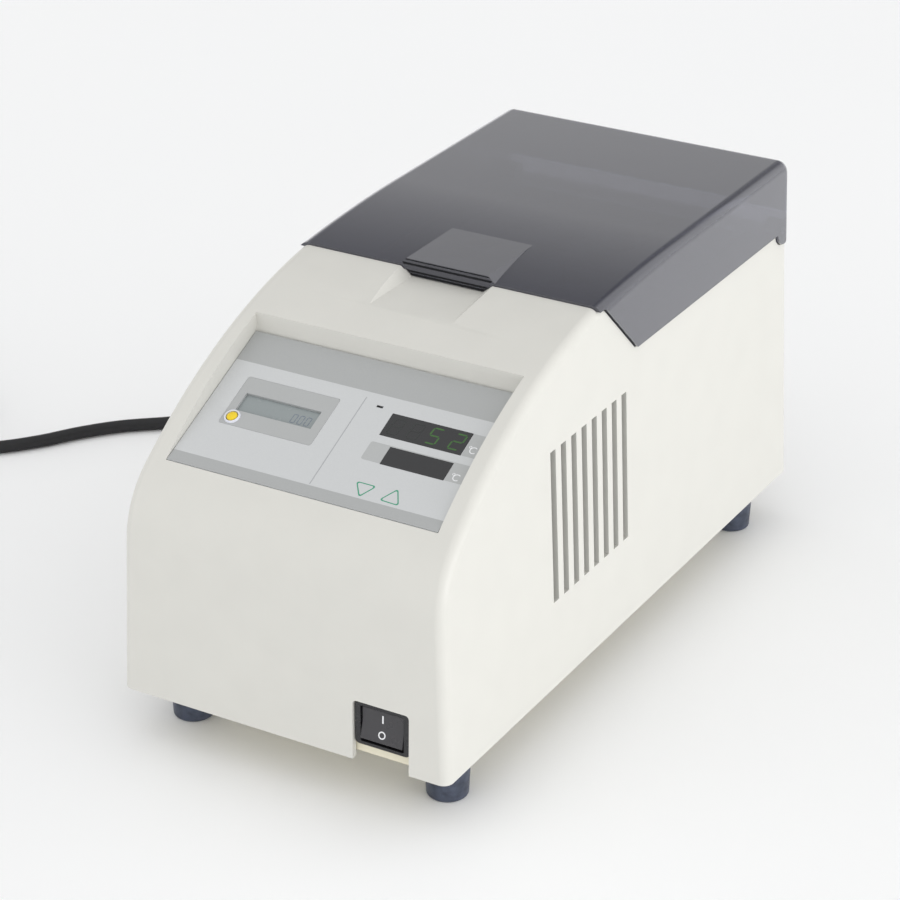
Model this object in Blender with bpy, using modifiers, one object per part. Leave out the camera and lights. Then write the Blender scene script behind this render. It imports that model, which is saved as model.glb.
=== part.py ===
"""Block incubator: a heated bench unit with two lift-out tube blocks under a smoked lid.

Metres, +Z up. X runs across the case, the front faces -Y, and the origin is on the bench
under the middle of the case. Each sub-part is one object, named as the part is.
"""

import math

import bmesh
import bpy
from mathutils import Matrix, Vector
from mathutils.geometry import interpolate_bezier

MM = 0.001

# Clearances
SEAT_GAP = 0.3 * MM          # between a piece and what it sits on
FIT_GAP = 0.35 * MM          # round a piece that drops into an opening
TURN_GAP = 0.25 * MM         # radial, between a pin and its hole

# Case
CHAMBER_WIDTH = 126 * MM
CHAMBER_LENGTH = 146 * MM
CHAMBER_SIDE_MARGIN = 26 * MM
CHAMBER_FRONT_MARGIN = 9 * MM
CHAMBER_REAR_MARGIN = 24.8 * MM
RIDGE_FROM_FRONT = 153 * MM  # where the slope ends and the lid begins
RIDGE_LAND = 4.6 * MM        # flat behind the ridge that the lid's front edge lies over
BULKHEAD_RUN = 31.4 * MM     # from the land to the bulkhead's foot on the deck
BULKHEAD_FOOT_FROM_FRONT = RIDGE_FROM_FRONT + RIDGE_LAND + BULKHEAD_RUN
CHAMBER_CENTRE_FROM_FRONT = BULKHEAD_FOOT_FROM_FRONT + CHAMBER_FRONT_MARGIN + CHAMBER_LENGTH / 2
CASE_WIDTH = CHAMBER_WIDTH + 2 * CHAMBER_SIDE_MARGIN    # at the cover's bottom edge
CASE_DEPTH = CHAMBER_CENTRE_FROM_FRONT + CHAMBER_LENGTH / 2 + CHAMBER_REAR_MARGIN
COVER_BOTTOM = 25.3 * MM
WALL = 3 * MM
SIDE_DRAFT = 0.0423
FRONT_DRAFT = 0.018
REAR_DRAFT = 0.022
FRONT_BLEND_RADIUS = 45 * MM
SLOPE_RADIUS = 266.8 * MM
SLOPE_CENTRE_FROM_FRONT = 190 * MM
SLOPE_TOP = 201.9 * MM       # height the slope's arc would reach at its centre
CORNER_RADIUS = 5 * MM
REAR_CORNER_RADIUS = 4 * MM
DECK_BELOW_TOP = 35.2 * MM
DECK_HEIGHT = SLOPE_TOP - DECK_BELOW_TOP
RIDGE_HEIGHT = (SLOPE_TOP - SLOPE_RADIUS
                + math.sqrt(SLOPE_RADIUS ** 2 - (SLOPE_CENTRE_FROM_FRONT - RIDGE_FROM_FRONT) ** 2))

# Lid
LID_WALL = 2.5 * MM
LID_STEP = 1.18 * MM         # how far the lid's front stands above the ridge
LID_CROWN_RISE = 4.2 * MM
LID_FRONT_TOP = RIDGE_HEIGHT + LID_STEP
LID_TOP = LID_FRONT_TOP + LID_CROWN_RISE
LID_PROUD = 1.5 * MM         # how far the lid's sides stand out from the case
LID_CROWN_RUN = 87 * MM      # from the ridge back to the flat stretch
LID_CROWN_FROM_FRONT = RIDGE_FROM_FRONT + LID_CROWN_RUN
LID_EDGE_RADIUS = 5.5 * MM
LID_HOLLOW_RUN_OUT = 20 * MM # how far the hollow's tool reaches ahead of the ridge
LID_REAR_RADIUS = 7 * MM
LID_REAR_INSET = 2.2 * MM
LID_REAR_FROM_FRONT = CASE_DEPTH - LID_REAR_INSET
LID_BACK_WALL_RISE = 8.9 * MM
LID_BACK_WALL_BOTTOM = DECK_HEIGHT + LID_BACK_WALL_RISE

# Lid hinge
EAR_RADIUS = 7.5 * MM
HINGE_RISE = 0.8 * MM
HINGE_FROM_FRONT = LID_REAR_FROM_FRONT - EAR_RADIUS
HINGE_HEIGHT = DECK_HEIGHT + HINGE_RISE
EAR_GAP = 0.6 * MM
EAR_POCKET_REACH = 12 * MM
HINGE_LUG_RADIUS = 5.6 * MM
HINGE_LUG_LENGTH = 8 * MM
HINGE_PIN_RADIUS = 2 * MM
HINGE_PIN_REACH = 1.5 * MM   # into the ear

# Finger tab on the lid and scoop in the case
TAB_BELOW_CROWN = 1 * MM
TAB_TOP = LID_TOP - TAB_BELOW_CROWN
TAB_HALF_WIDTH = 22.3 * MM
TAB_FLARE = 1.19             # sideways per height
TAB_SETBACK = 0.4 * MM
TAB_FRONT_FROM_FRONT = RIDGE_FROM_FRONT + TAB_SETBACK
SCOOP_LENGTH = 32.7 * MM
SCOOP_RUN_OUT = 6 * MM
SCOOP_UNDER_TAB = 12 * MM
SCOOP_START_DROP = 8 * MM
SCOOP_END_DROP = 5.8 * MM
SCOOP_START_FROM_FRONT = TAB_FRONT_FROM_FRONT - SCOOP_LENGTH
SCOOP_START_HEIGHT = LID_FRONT_TOP - SCOOP_START_DROP
SCOOP_END_HEIGHT = LID_FRONT_TOP - SCOOP_END_DROP
SCOOP_HALF_WIDTH = 22.4 * MM
SCOOP_FLOOR_HALF_WIDTH = 19.6 * MM
SCOOP_TOP_HALF_WIDTH = 25 * MM

# Front panel, measured on its own plane from its lower edge
PANEL_FOOT_FROM_FRONT = 20.5 * MM
PANEL_FOOT_BELOW_TOP = 60.7 * MM
PANEL_FOOT_HEIGHT = SLOPE_TOP - PANEL_FOOT_BELOW_TOP
PANEL_TILT = math.radians(24.5)
PANEL_SIDE_MARGIN = 17 * MM
PANEL_WIDTH = CASE_WIDTH - 2 * PANEL_SIDE_MARGIN
PANEL_LENGTH = 84.2 * MM
PANEL_THICKNESS = 1.5 * MM
PANEL_LEDGE = 6 * MM
BOARD_DEPTH = 13 * MM        # display board's face, below the panel's face
BOARD_THICKNESS = 1.6 * MM
BOARD_POST_RADIUS = 3 * MM
BOARD_POST_INSET = 10.8 * MM

# Timer, displays, lamp and keys: centre across, centre up the panel, width, height
TIMER_PLACE = (-34.9 * MM, 42.3 * MM)
TIMER_SIZE = (50.4 * MM, 29.6 * MM)
TIMER_PROUD = 0.2 * MM       # its face above the panel's
TIMER_FLANGE_THICKNESS = 0.7 * MM
TIMER_FLANGE = 1.2 * MM
TIMER_BODY_DEPTH = 9 * MM
LCD_PLACE = (-35.3 * MM, 42.1 * MM)
LCD_SIZE = (41 * MM, 10.7 * MM)
LCD_SINK = 0.3 * MM
LCD_THICKNESS = 2.2 * MM
BUTTON_PLACE = (-55 * MM, 32.3 * MM)
BUTTON_RADIUS = 2.6 * MM
BUTTON_PROUD = 1.3 * MM
BUTTON_TRAVEL = 0.8 * MM
BUTTON_SKIRT = 2.5 * MM
BUTTON_STEM_RADIUS = 1.2 * MM
BUTTON_STEM_LENGTH = 3.1 * MM
TEMP_PLACE = (39.8 * MM, 49.9 * MM)
TEMP_SIZE = (42.4 * MM, 13.5 * MM)
SET_PLACE = (43.8 * MM, 32.8 * MM)
SET_SIZE = (33 * MM, 10.5 * MM)
LENS_THICKNESS = 1.5 * MM
LAMP_PLACE = (10.6 * MM, 58.5 * MM)
LAMP_SIZE = (3.8 * MM, 1.8 * MM)
KEY_DOWN_PLACE = (26.9 * MM, 12 * MM)
KEY_UP_PLACE = (43.1 * MM, 12 * MM)
KEY_SIZE = (13.6 * MM, 10.4 * MM)
KEY_TRAVEL = 0.5 * MM
KEY_STEM_RADIUS = 1.5 * MM
KEY_STEM_REACH = 1.5 * MM    # into its switch
KEY_SWITCH_SIZE = 6.2 * MM
KEY_SWITCH_HEIGHT = 5 * MM

# Side vents
VENT_COUNT = 8
VENT_PITCH = 10.24 * MM
VENT_WIDTH = 5.1 * MM
VENT_FIRST_FROM_FRONT = 105.4 * MM
VENT_BOTTOM = 69.9 * MM
VENT_TOP = 147.5 * MM

# Power switch in its notch
SWITCH_X = 53.8 * MM
SWITCH_Z = 44.6 * MM
SWITCH_BEZEL = (28.4 * MM, 22 * MM)
SWITCH_BEZEL_THICKNESS = 2 * MM
SWITCH_BODY = (25 * MM, 20.4 * MM)
SWITCH_BODY_DEPTH = 20 * MM
SWITCH_FACE_FROM_FRONT = 1.6 * MM
NOTCH_GAP = 0.6 * MM
NOTCH_CORNER = 2 * MM
NOTCH_BELOW_COVER = 8 * MM   # how far a notch's tool reaches below the cover's edge
ROCKER_WIDTH = 22 * MM
ROCKER_RADIUS = 9 * MM
ROCKER_HALF_HEIGHT = 7.8 * MM
ROCKER_DISH = 0.9 * MM
ROCKER_PIVOT_DEPTH = 4.5 * MM
ROCKER_TILT = math.radians(8)
ROCKER_PIN_RADIUS = 1.2 * MM
ROCKER_PIN_REACH = 0.9 * MM
SWITCH_EDGE = 0.8 * MM
SWITCH_TAG_SPACING = 12 * MM
SWITCH_TAG = (4.8 * MM, 7 * MM, 0.8 * MM)

# Chassis
SHEET = 1.2 * MM
CHASSIS_BOTTOM = 28.3 * MM
CHASSIS_SIDE_GAP = 0.6 * MM
CHASSIS_LIP = 11 * MM
SWITCH_FLANGE_MARGIN = 3 * MM
SWITCH_FLANGE_TOP = SWITCH_Z + SWITCH_BEZEL[1] / 2 + SWITCH_FLANGE_MARGIN
REAR_NOTCH_HALF_WIDTH = 40 * MM
REAR_NOTCH_TOP = 56.3 * MM
REAR_FLANGE_MARGIN = 5 * MM

# Feet and their screws
FOOT_SIDE_INSET = 18.3 * MM
FOOT_X = CASE_WIDTH / 2 - FOOT_SIDE_INSET
FOOT_FRONT_FROM_FRONT = 31.6 * MM
FOOT_REAR_INSET = 29.5 * MM
FOOT_REAR_FROM_FRONT = CASE_DEPTH - FOOT_REAR_INSET
FOOT_RADIUS = 10.7 * MM
FOOT_BOTTOM_RADIUS = 10 * MM
FOOT_ROUNDING = 1.5 * MM
FOOT_BORE_RADIUS = 2.4 * MM
FOOT_COUNTERBORE_RADIUS = 4.6 * MM
FOOT_COUNTERBORE_DEPTH = 8 * MM
SCREW_RADIUS = 1.9 * MM
SCREW_HEAD_RADIUS = 4 * MM
SCREW_HEAD_HEIGHT = 2.6 * MM
SCREW_ABOVE_SHEET = 4 * MM

# Bosses that the cover is screwed to the chassis by
BOSS_RADIUS = 5 * MM
BOSS_HEIGHT = 24 * MM
BOSS_INSET = 11 * MM
BOSS_FRONT_FROM_FRONT = 46 * MM
BOSS_REAR_INSET = 61.9 * MM
BOSS_REAR_FROM_FRONT = CASE_DEPTH - BOSS_REAR_INSET
BOSS_PILOT_RADIUS = 1.8 * MM
BOSS_PILOT_DEPTH = 14 * MM
COVER_SCREW_RADIUS = 1.5 * MM
COVER_SCREW_LENGTH = 10 * MM
COVER_SCREW_HEAD_RADIUS = 3 * MM
COVER_SCREW_HEAD_HEIGHT = 2 * MM

# Heated chamber
CHAMBER_DEPTH = 54 * MM
TRAY_SHEET = 1 * MM
TRAY_FLANGE = 4 * MM
BLOCK_GAP = 1 * MM
BLOCK_HEIGHT = 49 * MM
BLOCK_BEVEL = 1 * MM
WELL_RADIUS = 8.6 * MM
WELL_DEPTH = 42 * MM
WELL_COLUMNS = 4
WELL_ROWS = 3
WELL_PITCH_X = 28 * MM
WELL_PITCH_Y = 21.5 * MM
HEATER_PLATE_THICKNESS = 6 * MM
HEATER_PLATE_INSET = 4 * MM
FILM_HEATER_THICKNESS = 1.6 * MM
JACKET_THICKNESS = 10 * MM
JACKET_TOP_GAP = 6 * MM
SENSOR_RADIUS = 2 * MM
SENSOR_LENGTH = 42 * MM
SENSOR_IN_PLATE = 26 * MM
CUTOUT_RADIUS = 8 * MM
CUTOUT_HEIGHT = 7 * MM
SENSOR_WAY = 20 * MM

# Parts on the chassis
STANDOFF_RADIUS = 3 * MM
STANDOFF_HEIGHT = 8 * MM
MAIN_BOARD_SIZE = (110 * MM, 96 * MM)
MAIN_BOARD_SETBACK = 19 * MM # the board's middle, ahead of the chamber's
MAIN_BOARD_FROM_FRONT = CHAMBER_CENTRE_FROM_FRONT - MAIN_BOARD_SETBACK
MAIN_BOARD_HOLE_INSET = 5 * MM
TRANSFORMER_X = -42 * MM
TRANSFORMER_FROM_FRONT = 120 * MM
TRANSFORMER_CORE = (54 * MM, 26 * MM, 45 * MM)
TRANSFORMER_COIL_OVERHANG = 9 * MM
TRANSFORMER_COIL_HEIGHT = 27 * MM
TRANSFORMER_COIL_EDGE = 3 * MM
TRANSFORMER_FOOT = 8 * MM
HEATSINK_X = 46 * MM
HEATSINK_FROM_FRONT = 140 * MM
HEATSINK_SIZE = (36 * MM, 60 * MM, 34 * MM)
HEATSINK_FINS = 6
HEATSINK_FIN_THICKNESS = 2 * MM
HEATSINK_BASE = 4 * MM
FUSE_RADIUS = 3 * MM
FUSE_LENGTH = 20 * MM
FUSE_CAP_LENGTH = 5.5 * MM
FUSE_CAP_RADIUS = 3.3 * MM
FUSE_HOLDER_SIZE = (9 * MM, 26 * MM, 7 * MM)
TERMINAL_SIZE = (34 * MM, 20 * MM, 17 * MM)
TERMINAL_WAYS = 3
TERMINAL_BEHIND_RELIEF = 6 * MM
TERMINAL_SCREW_RADIUS = 2.6 * MM
TERMINAL_WAY_RADIUS = 2 * MM
TERMINAL_WAY_HEIGHT = 4.5 * MM

# Mains cord: where it leaves the case and how it is made
CORD_DIAMETER = 7.1 * MM
CORD_X = -30 * MM
CORD_Z = 43.3 * MM
RELIEF_LENGTH = 34 * MM
RELIEF_RADIUS = 7 * MM
RELIEF_TIP_RADIUS = 5 * MM
RELIEF_FLANGE_RADIUS = 9 * MM
RELIEF_FLANGE = 2.4 * MM
RELIEF_INNER = 9 * MM
RELIEF_SOCKET = 6 * MM       # how deep the cord sits in the relief's tip
RELIEF_NECK_RADIUS = 6 * MM
RELIEF_SLOTS = 4
RELIEF_SLOT_PITCH = 6 * MM
RELIEF_SLOT_WIDTH = 2.2 * MM
RELIEF_SLOT_START = 7.4 * MM
RELIEF_CORE = 0.8 * MM       # left round the cord's bore between the slots

# Route of the cord's middle from the strain relief to the coil, in millimetres (x, y, z)
CORD_ROUTE = (
    (-30.0, 208.9, 43.3), (-30.0, 217.5, 43.3), (-30.6, 232.0, 40.7), (-33.0, 248.5, 32.4),
    (-37.5, 263.5, 20.4), (-46.0, 277.0, 9.9), (-58.0, 286.5, 4.6), (-73.0, 291.0, 3.7), (-89.0, 290.0, 3.7),
    (-104.0, 282.5, 3.7), (-117.0, 270.0, 3.7), (-129.5, 254.0, 3.7), (-142.5, 235.0, 3.7),
    (-156.0, 215.7, 3.7), (-173.3, 191.4, 3.7), (-194.5, 166.1, 3.7), (-217.8, 140.7, 3.7),
    (-241.1, 117.5, 3.7), (-263.4, 98.7, 3.7), (-282.6, 82.5, 3.7), (-297.8, 64.3, 3.7),
    (-311.0, 44.0, 3.7), (-326.2, 26.3, 3.7), (-343.4, 14.0, 3.7), (-367.9, -1.0, 3.7),
)
CORD_STEP = 16 * MM
COIL_CENTRE = (-409.7 * MM, 27.2 * MM)
COIL_MEAN_RADIUS = 36 * MM
COIL_BUNDLE_WIDTH = 22 * MM
COIL_BUNDLE_HEIGHT = 15.2 * MM
TAIL_ROUTE = (
    (-456.6, 45.9, 10.6), (-456.6, 53.0, 9.8), (-456.6, 61.0, 8.5), (-456.6, 69.0, 7.5),
    (-456.6, 77.2, 7.0),
)
PLUG_PLACE = (-456.6 * MM, 77.8 * MM, 7 * MM)
PLUG_GRIP_LENGTH = 12 * MM
PLUG_GRIP_RADII = (4.6 * MM, 6.4 * MM)
PLUG_EDGE = 3 * MM
PLUG_LENGTH = 34 * MM
PLUG_HALF_WIDTH = 12 * MM
PLUG_LOW = 6.6 * MM
PLUG_HIGH = 8 * MM
BLADE_SPACING = 12.7 * MM
BLADE_THICKNESS = 1.5 * MM
BLADE_WIDTH = 6.3 * MM
BLADE_LENGTH = 17 * MM
BLADE_DROP = 1.5 * MM
EARTH_PIN_RADIUS = 2.4 * MM
EARTH_PIN_DROP = 3.4 * MM
EARTH_PIN_LENGTH = 19 * MM

ROUND_SEGMENTS = 24
SMALL_SEGMENTS = 12


def clear_scene():
    for item in list(bpy.data.objects):
        bpy.data.objects.remove(item, do_unlink=True)


def new_collection(name):
    collection = bpy.data.collections.new(name)
    bpy.context.scene.collection.children.link(collection)
    return collection


def new_material(name, colour, roughness, metallic=0.0, alpha=1.0):
    material = bpy.data.materials.new(name)
    material.use_nodes = True
    shader = material.node_tree.nodes["Principled BSDF"]
    shader.inputs["Base Color"].default_value = (*colour, 1.0)
    shader.inputs["Roughness"].default_value = roughness
    shader.inputs["Metallic"].default_value = metallic
    shader.inputs["Alpha"].default_value = alpha
    material.diffuse_color = (*colour, 1.0)
    return material


clear_scene()
PARTS = new_collection("block_incubator")
CUTTERS = new_collection("cutters")

IVORY = new_material("ivory_plastic", (0.80, 0.79, 0.73), 0.45)
CREAM_STEEL = new_material("cream_painted_steel", (0.72, 0.70, 0.60), 0.45)
SMOKED = new_material("smoked_acrylic", (0.05, 0.05, 0.06), 0.12, alpha=0.85)
FOOT_RUBBER = new_material("blue_grey_rubber", (0.06, 0.07, 0.10), 0.6)
BLACK_PLASTIC = new_material("black_plastic", (0.015, 0.015, 0.017), 0.4)
PANEL_FILM = new_material("grey_panel_film", (0.62, 0.63, 0.64), 0.4)
TIMER_GREY = new_material("timer_grey_plastic", (0.55, 0.56, 0.55), 0.4)
LCD_GLASS = new_material("lcd_glass", (0.35, 0.38, 0.36), 0.2)
YELLOW = new_material("yellow_button", (0.85, 0.60, 0.05), 0.4)
LENS_BLACK = new_material("dark_lens", (0.01, 0.01, 0.012), 0.15)
ALUMINIUM = new_material("aluminium", (0.75, 0.76, 0.77), 0.35, 1.0)
STEEL = new_material("zinc_plated_steel", (0.6, 0.6, 0.58), 0.35, 1.0)
BOARD_GREEN = new_material("green_board", (0.03, 0.18, 0.07), 0.5)
FOAM = new_material("insulation_foam", (0.75, 0.72, 0.6), 0.95)
SILICONE = new_material("heater_silicone", (0.5, 0.12, 0.05), 0.8)
COPPER_COIL = new_material("taped_coil", (0.55, 0.40, 0.08), 0.6)
CORD_BLACK = new_material("black_cord", (0.012, 0.012, 0.013), 0.5)


def from_front(distance):
    """The y of a plane this far behind the cover's bottom front edge."""
    return distance - CASE_DEPTH / 2


def half_width(height):
    """Half the case's width at a height: the sides lean in as they rise."""
    return CASE_WIDTH / 2 - SIDE_DRAFT * (height - COVER_BOTTOM)


def finish_object(name, mesh, material, collection, smooth=True, matrix=None):
    item = bpy.data.objects.new(name, mesh)
    collection.objects.link(item)
    if matrix:
        item.matrix_world = matrix
    if collection is CUTTERS:
        item.hide_render = True
        item.display_type = "WIRE"
        return item
    mesh.materials.clear()
    mesh.materials.append(material)
    if smooth:
        mesh.shade_smooth()
        mesh.set_sharp_from_angle(angle=math.radians(30))
    return item


def mesh_from(bm, name):
    bmesh.ops.recalc_face_normals(bm, faces=bm.faces)
    mesh = bpy.data.meshes.new(name)
    bm.to_mesh(mesh)
    bm.free()
    return mesh


def box(name, low, high, material=None, collection=None, bevel=0.0, segments=2, matrix=None):
    """A box between two corners, with rounded edges where bevel is given."""
    bm = bmesh.new()
    bmesh.ops.create_cube(bm, size=1.0)
    low = Vector(low)
    high = Vector(high)
    size = high - low
    middle = (high + low) / 2
    for vertex in bm.verts:
        vertex.co = Vector((vertex.co.x * size.x, vertex.co.y * size.y, vertex.co.z * size.z))
    if bevel:
        bmesh.ops.bevel(bm, geom=bm.edges[:], offset=bevel, segments=segments, profile=0.5,
                        affect="EDGES")
    place = (matrix or Matrix()) @ Matrix.Translation(middle)
    return finish_object(name, mesh_from(bm, name), material, collection or CUTTERS, bool(bevel), place)


def cylinder(name, radius, base, axis, length, material=None, collection=None,
             segments=ROUND_SEGMENTS, top_radius=None, matrix=None):
    """A cylinder or cone that starts at base and runs along axis."""
    bm = bmesh.new()
    bmesh.ops.create_cone(bm, cap_ends=True, segments=segments, radius1=radius,
                          radius2=radius if top_radius is None else top_radius, depth=length)
    bmesh.ops.translate(bm, vec=(0, 0, length / 2), verts=bm.verts)
    turn = Vector((0, 0, 1)).rotation_difference(Vector(axis)).to_matrix().to_4x4()
    place = (matrix or Matrix()) @ Matrix.Translation(Vector(base)) @ turn
    return finish_object(name, mesh_from(bm, name), material, collection or CUTTERS, matrix=place)


def turned(name, profile, place, axis, material=None, collection=None, segments=ROUND_SEGMENTS,
           matrix=None):
    """A profile of (radius, height) from top to bottom, turned round its axis with a Screw."""
    mesh = bpy.data.meshes.new(name)
    mesh.from_pydata([(radius, 0, height) for radius, height in profile],
                     [(i, i + 1) for i in range(len(profile) - 1)], [])
    item = bpy.data.objects.new(name, mesh)
    PARTS.objects.link(item)
    screw = item.modifiers.new("turn", "SCREW")
    screw.steps = segments
    screw.render_steps = segments
    screw.use_merge_vertices = True
    screw.merge_threshold = 0.00001
    bpy.context.view_layer.update()
    evaluated = item.evaluated_get(bpy.context.evaluated_depsgraph_get())
    bm = bmesh.new()
    bm.from_mesh(evaluated.to_mesh())
    bpy.data.objects.remove(item, do_unlink=True)
    bmesh.ops.remove_doubles(bm, verts=bm.verts, dist=0.00001)
    turn = Vector((0, 0, 1)).rotation_difference(Vector(axis)).to_matrix().to_4x4()
    stand = (matrix or Matrix()) @ Matrix.Translation(Vector(place)) @ turn
    return finish_object(name, mesh_from(bm, name), material, collection or CUTTERS, matrix=stand)


def outline_bmesh(name, points, half_thickness):
    """A flat outline filled and thickened as a 2D curve, then taken as a closed mesh."""
    curve = bpy.data.curves.new(name, "CURVE")
    curve.dimensions = "2D"
    curve.fill_mode = "BOTH"
    curve.extrude = half_thickness
    spline = curve.splines.new("POLY")
    spline.points.add(len(points) - 1)
    for point, (across, up) in zip(spline.points, points):
        point.co = (across, up, 0, 1)
    spline.use_cyclic_u = True
    item = bpy.data.objects.new(name, curve)
    PARTS.objects.link(item)
    bpy.context.view_layer.update()
    graph = bpy.context.evaluated_depsgraph_get()
    mesh = bpy.data.meshes.new_from_object(item.evaluated_get(graph))
    bpy.data.objects.remove(item, do_unlink=True)
    bm = bmesh.new()
    bm.from_mesh(mesh)
    bmesh.ops.remove_doubles(bm, verts=bm.verts, dist=0.000001)
    bmesh.ops.dissolve_limit(bm, angle_limit=math.radians(0.05), verts=bm.verts, edges=bm.edges)
    bmesh.ops.recalc_face_normals(bm, faces=bm.faces)
    return bm


SIDE_ON = Matrix(((0, 0, 1, 0), (1, 0, 0, 0), (0, 1, 0, 0), (0, 0, 0, 1)))


def side_prism(name, points, low_x, high_x, material=None, collection=None, matrix=None):
    """An outline in (y, z) carried across from low_x to high_x."""
    bm = outline_bmesh(name, points, (high_x - low_x) / 2)
    bmesh.ops.transform(bm, matrix=SIDE_ON, verts=bm.verts)
    bmesh.ops.translate(bm, vec=((low_x + high_x) / 2, 0, 0), verts=bm.verts)
    return finish_object(name, mesh_from(bm, name), material, collection or CUTTERS, matrix=matrix)


def drafted_body(name, points, grow, rounded, material=None, collection=None):
    """A side outline as wide as the case plus grow, whose sides lean in with the case's draft.

    rounded lists (test, radius, segments): side edges whose middle passes the test are rounded.
    """
    bm = outline_bmesh(name, points, 1.0)
    bmesh.ops.transform(bm, matrix=SIDE_ON, verts=bm.verts)
    for vertex in bm.verts:
        side = 1 if vertex.co.x > 0 else -1
        vertex.co.x = side * (half_width(vertex.co.z) + grow)
    for test, radius, segments in rounded:
        edges = []
        for edge in bm.edges:
            first, second = (v.co for v in edge.verts)
            if first.x * second.x > 0 and test((first + second) / 2) and len(edge.link_faces) == 2:
                if edge.calc_face_angle() > math.radians(60):
                    edges.append(edge)
        bmesh.ops.bevel(bm, geom=edges, offset=radius, segments=segments, profile=0.5,
                        affect="EDGES", clamp_overlap=False)
    return finish_object(name, mesh_from(bm, name), material, collection or CUTTERS)


def move_origin(item, place):
    """Put an object's origin at a place, such as its joint's axis, and leave its shape there."""
    item.data.transform(Matrix.Translation(-Vector(place)))
    item.location = place


def combine(target, operation, *tools):
    for tool in tools:
        modifier = target.modifiers.new(f"{operation.lower()}_{tool.name}", "BOOLEAN")
        modifier.operation = operation
        modifier.solver = "EXACT"
        modifier.object = tool
    return target


def cut(target, *tools):
    return combine(target, "DIFFERENCE", *tools)


def join(target, *tools):
    return combine(target, "UNION", *tools)


def arc(centre, radius, start, end, steps):
    """Points on an arc from one angle to another, both ends included."""
    points = []
    for i in range(steps + 1):
        angle = start + (end - start) * i / steps
        points.append((centre[0] + radius * math.cos(angle), centre[1] + radius * math.sin(angle)))
    return points


def crossing(point_a, direction_a, point_b, direction_b):
    """Where two straight lines in a plane cross."""
    det = direction_a[0] * -direction_b[1] + direction_b[0] * direction_a[1]
    dx = point_b[0] - point_a[0]
    dy = point_b[1] - point_a[1]
    t = (dx * -direction_b[1] + direction_b[0] * dy) / det
    return (point_a[0] + t * direction_a[0], point_a[1] + t * direction_a[1])


# Case outline, seen from the side

SLOPE_CENTRE = (from_front(SLOPE_CENTRE_FROM_FRONT), SLOPE_TOP - SLOPE_RADIUS)


def blend_centre():
    """The centre of the arc that joins the upright front to the slope."""
    norm = math.hypot(1, FRONT_DRAFT)
    start = (from_front(0) + FRONT_BLEND_RADIUS / norm,
             COVER_BOTTOM - FRONT_DRAFT * FRONT_BLEND_RADIUS / norm)
    along = (FRONT_DRAFT / norm, 1 / norm)
    dx = start[0] - SLOPE_CENTRE[0]
    dz = start[1] - SLOPE_CENTRE[1]
    reach = SLOPE_RADIUS - FRONT_BLEND_RADIUS
    b = dx * along[0] + dz * along[1]
    c = dx * dx + dz * dz - reach * reach
    t = -b + math.sqrt(b * b - c)
    return (start[0] + t * along[0], start[1] + t * along[1])


BLEND_CENTRE = blend_centre()
FRONT_NORMAL_ANGLE = math.pi - math.atan(FRONT_DRAFT)
SLOPE_START_ANGLE = math.atan2(BLEND_CENTRE[1] - SLOPE_CENTRE[1], BLEND_CENTRE[0] - SLOPE_CENTRE[0])


def front_and_slope(inset, bottom, end_y, blend_steps=6, slope_steps=12):
    """The outline from the bottom front edge, up the front and along the slope to end_y."""
    first = from_front(0) + FRONT_DRAFT * (bottom - COVER_BOTTOM) + inset * math.hypot(1, FRONT_DRAFT)
    points = [(first, bottom)]
    points += arc(BLEND_CENTRE, FRONT_BLEND_RADIUS - inset, FRONT_NORMAL_ANGLE, SLOPE_START_ANGLE,
                  blend_steps)
    radius = SLOPE_RADIUS - inset
    end = math.acos((end_y - SLOPE_CENTRE[0]) / radius)
    points += arc(SLOPE_CENTRE, radius, SLOPE_START_ANGLE, end, slope_steps)[1:]
    return points


def rear_y(height, inset=0.0):
    return from_front(CASE_DEPTH - REAR_DRAFT * (height - COVER_BOTTOM) - inset)


RIDGE_Y = from_front(RIDGE_FROM_FRONT)
LAND_HEIGHT = LID_FRONT_TOP - LID_WALL - SEAT_GAP
LAND_END_Y = RIDGE_Y + RIDGE_LAND
BULKHEAD_FOOT_Y = from_front(BULKHEAD_FOOT_FROM_FRONT)
BULKHEAD_DIRECTION = (BULKHEAD_FOOT_Y - LAND_END_Y, DECK_HEIGHT - LAND_HEIGHT)


def case_outline():
    """The case before the room behind the ridge is cut from it, so that its rounding runs on."""
    points = front_and_slope(0, COVER_BOTTOM, BULKHEAD_FOOT_Y, slope_steps=15)
    top = points[-1][1]
    step_y = BULKHEAD_FOOT_Y + BULKHEAD_RUN
    spare_deck = DECK_HEIGHT + WALL
    points += [(step_y, top), (step_y, spare_deck), (rear_y(spare_deck), spare_deck)]
    points.append((rear_y(COVER_BOTTOM), COVER_BOTTOM))
    return points


def room_outline():
    """What is cut away behind the ridge: above the land, the bulkhead and the deck."""
    above = SLOPE_TOP + WALL
    behind = from_front(CASE_DEPTH + WALL)
    return [(RIDGE_Y, above), (RIDGE_Y, LAND_HEIGHT), (LAND_END_Y, LAND_HEIGHT),
            (BULKHEAD_FOOT_Y, DECK_HEIGHT), (behind, DECK_HEIGHT), (behind, above)]


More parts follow.
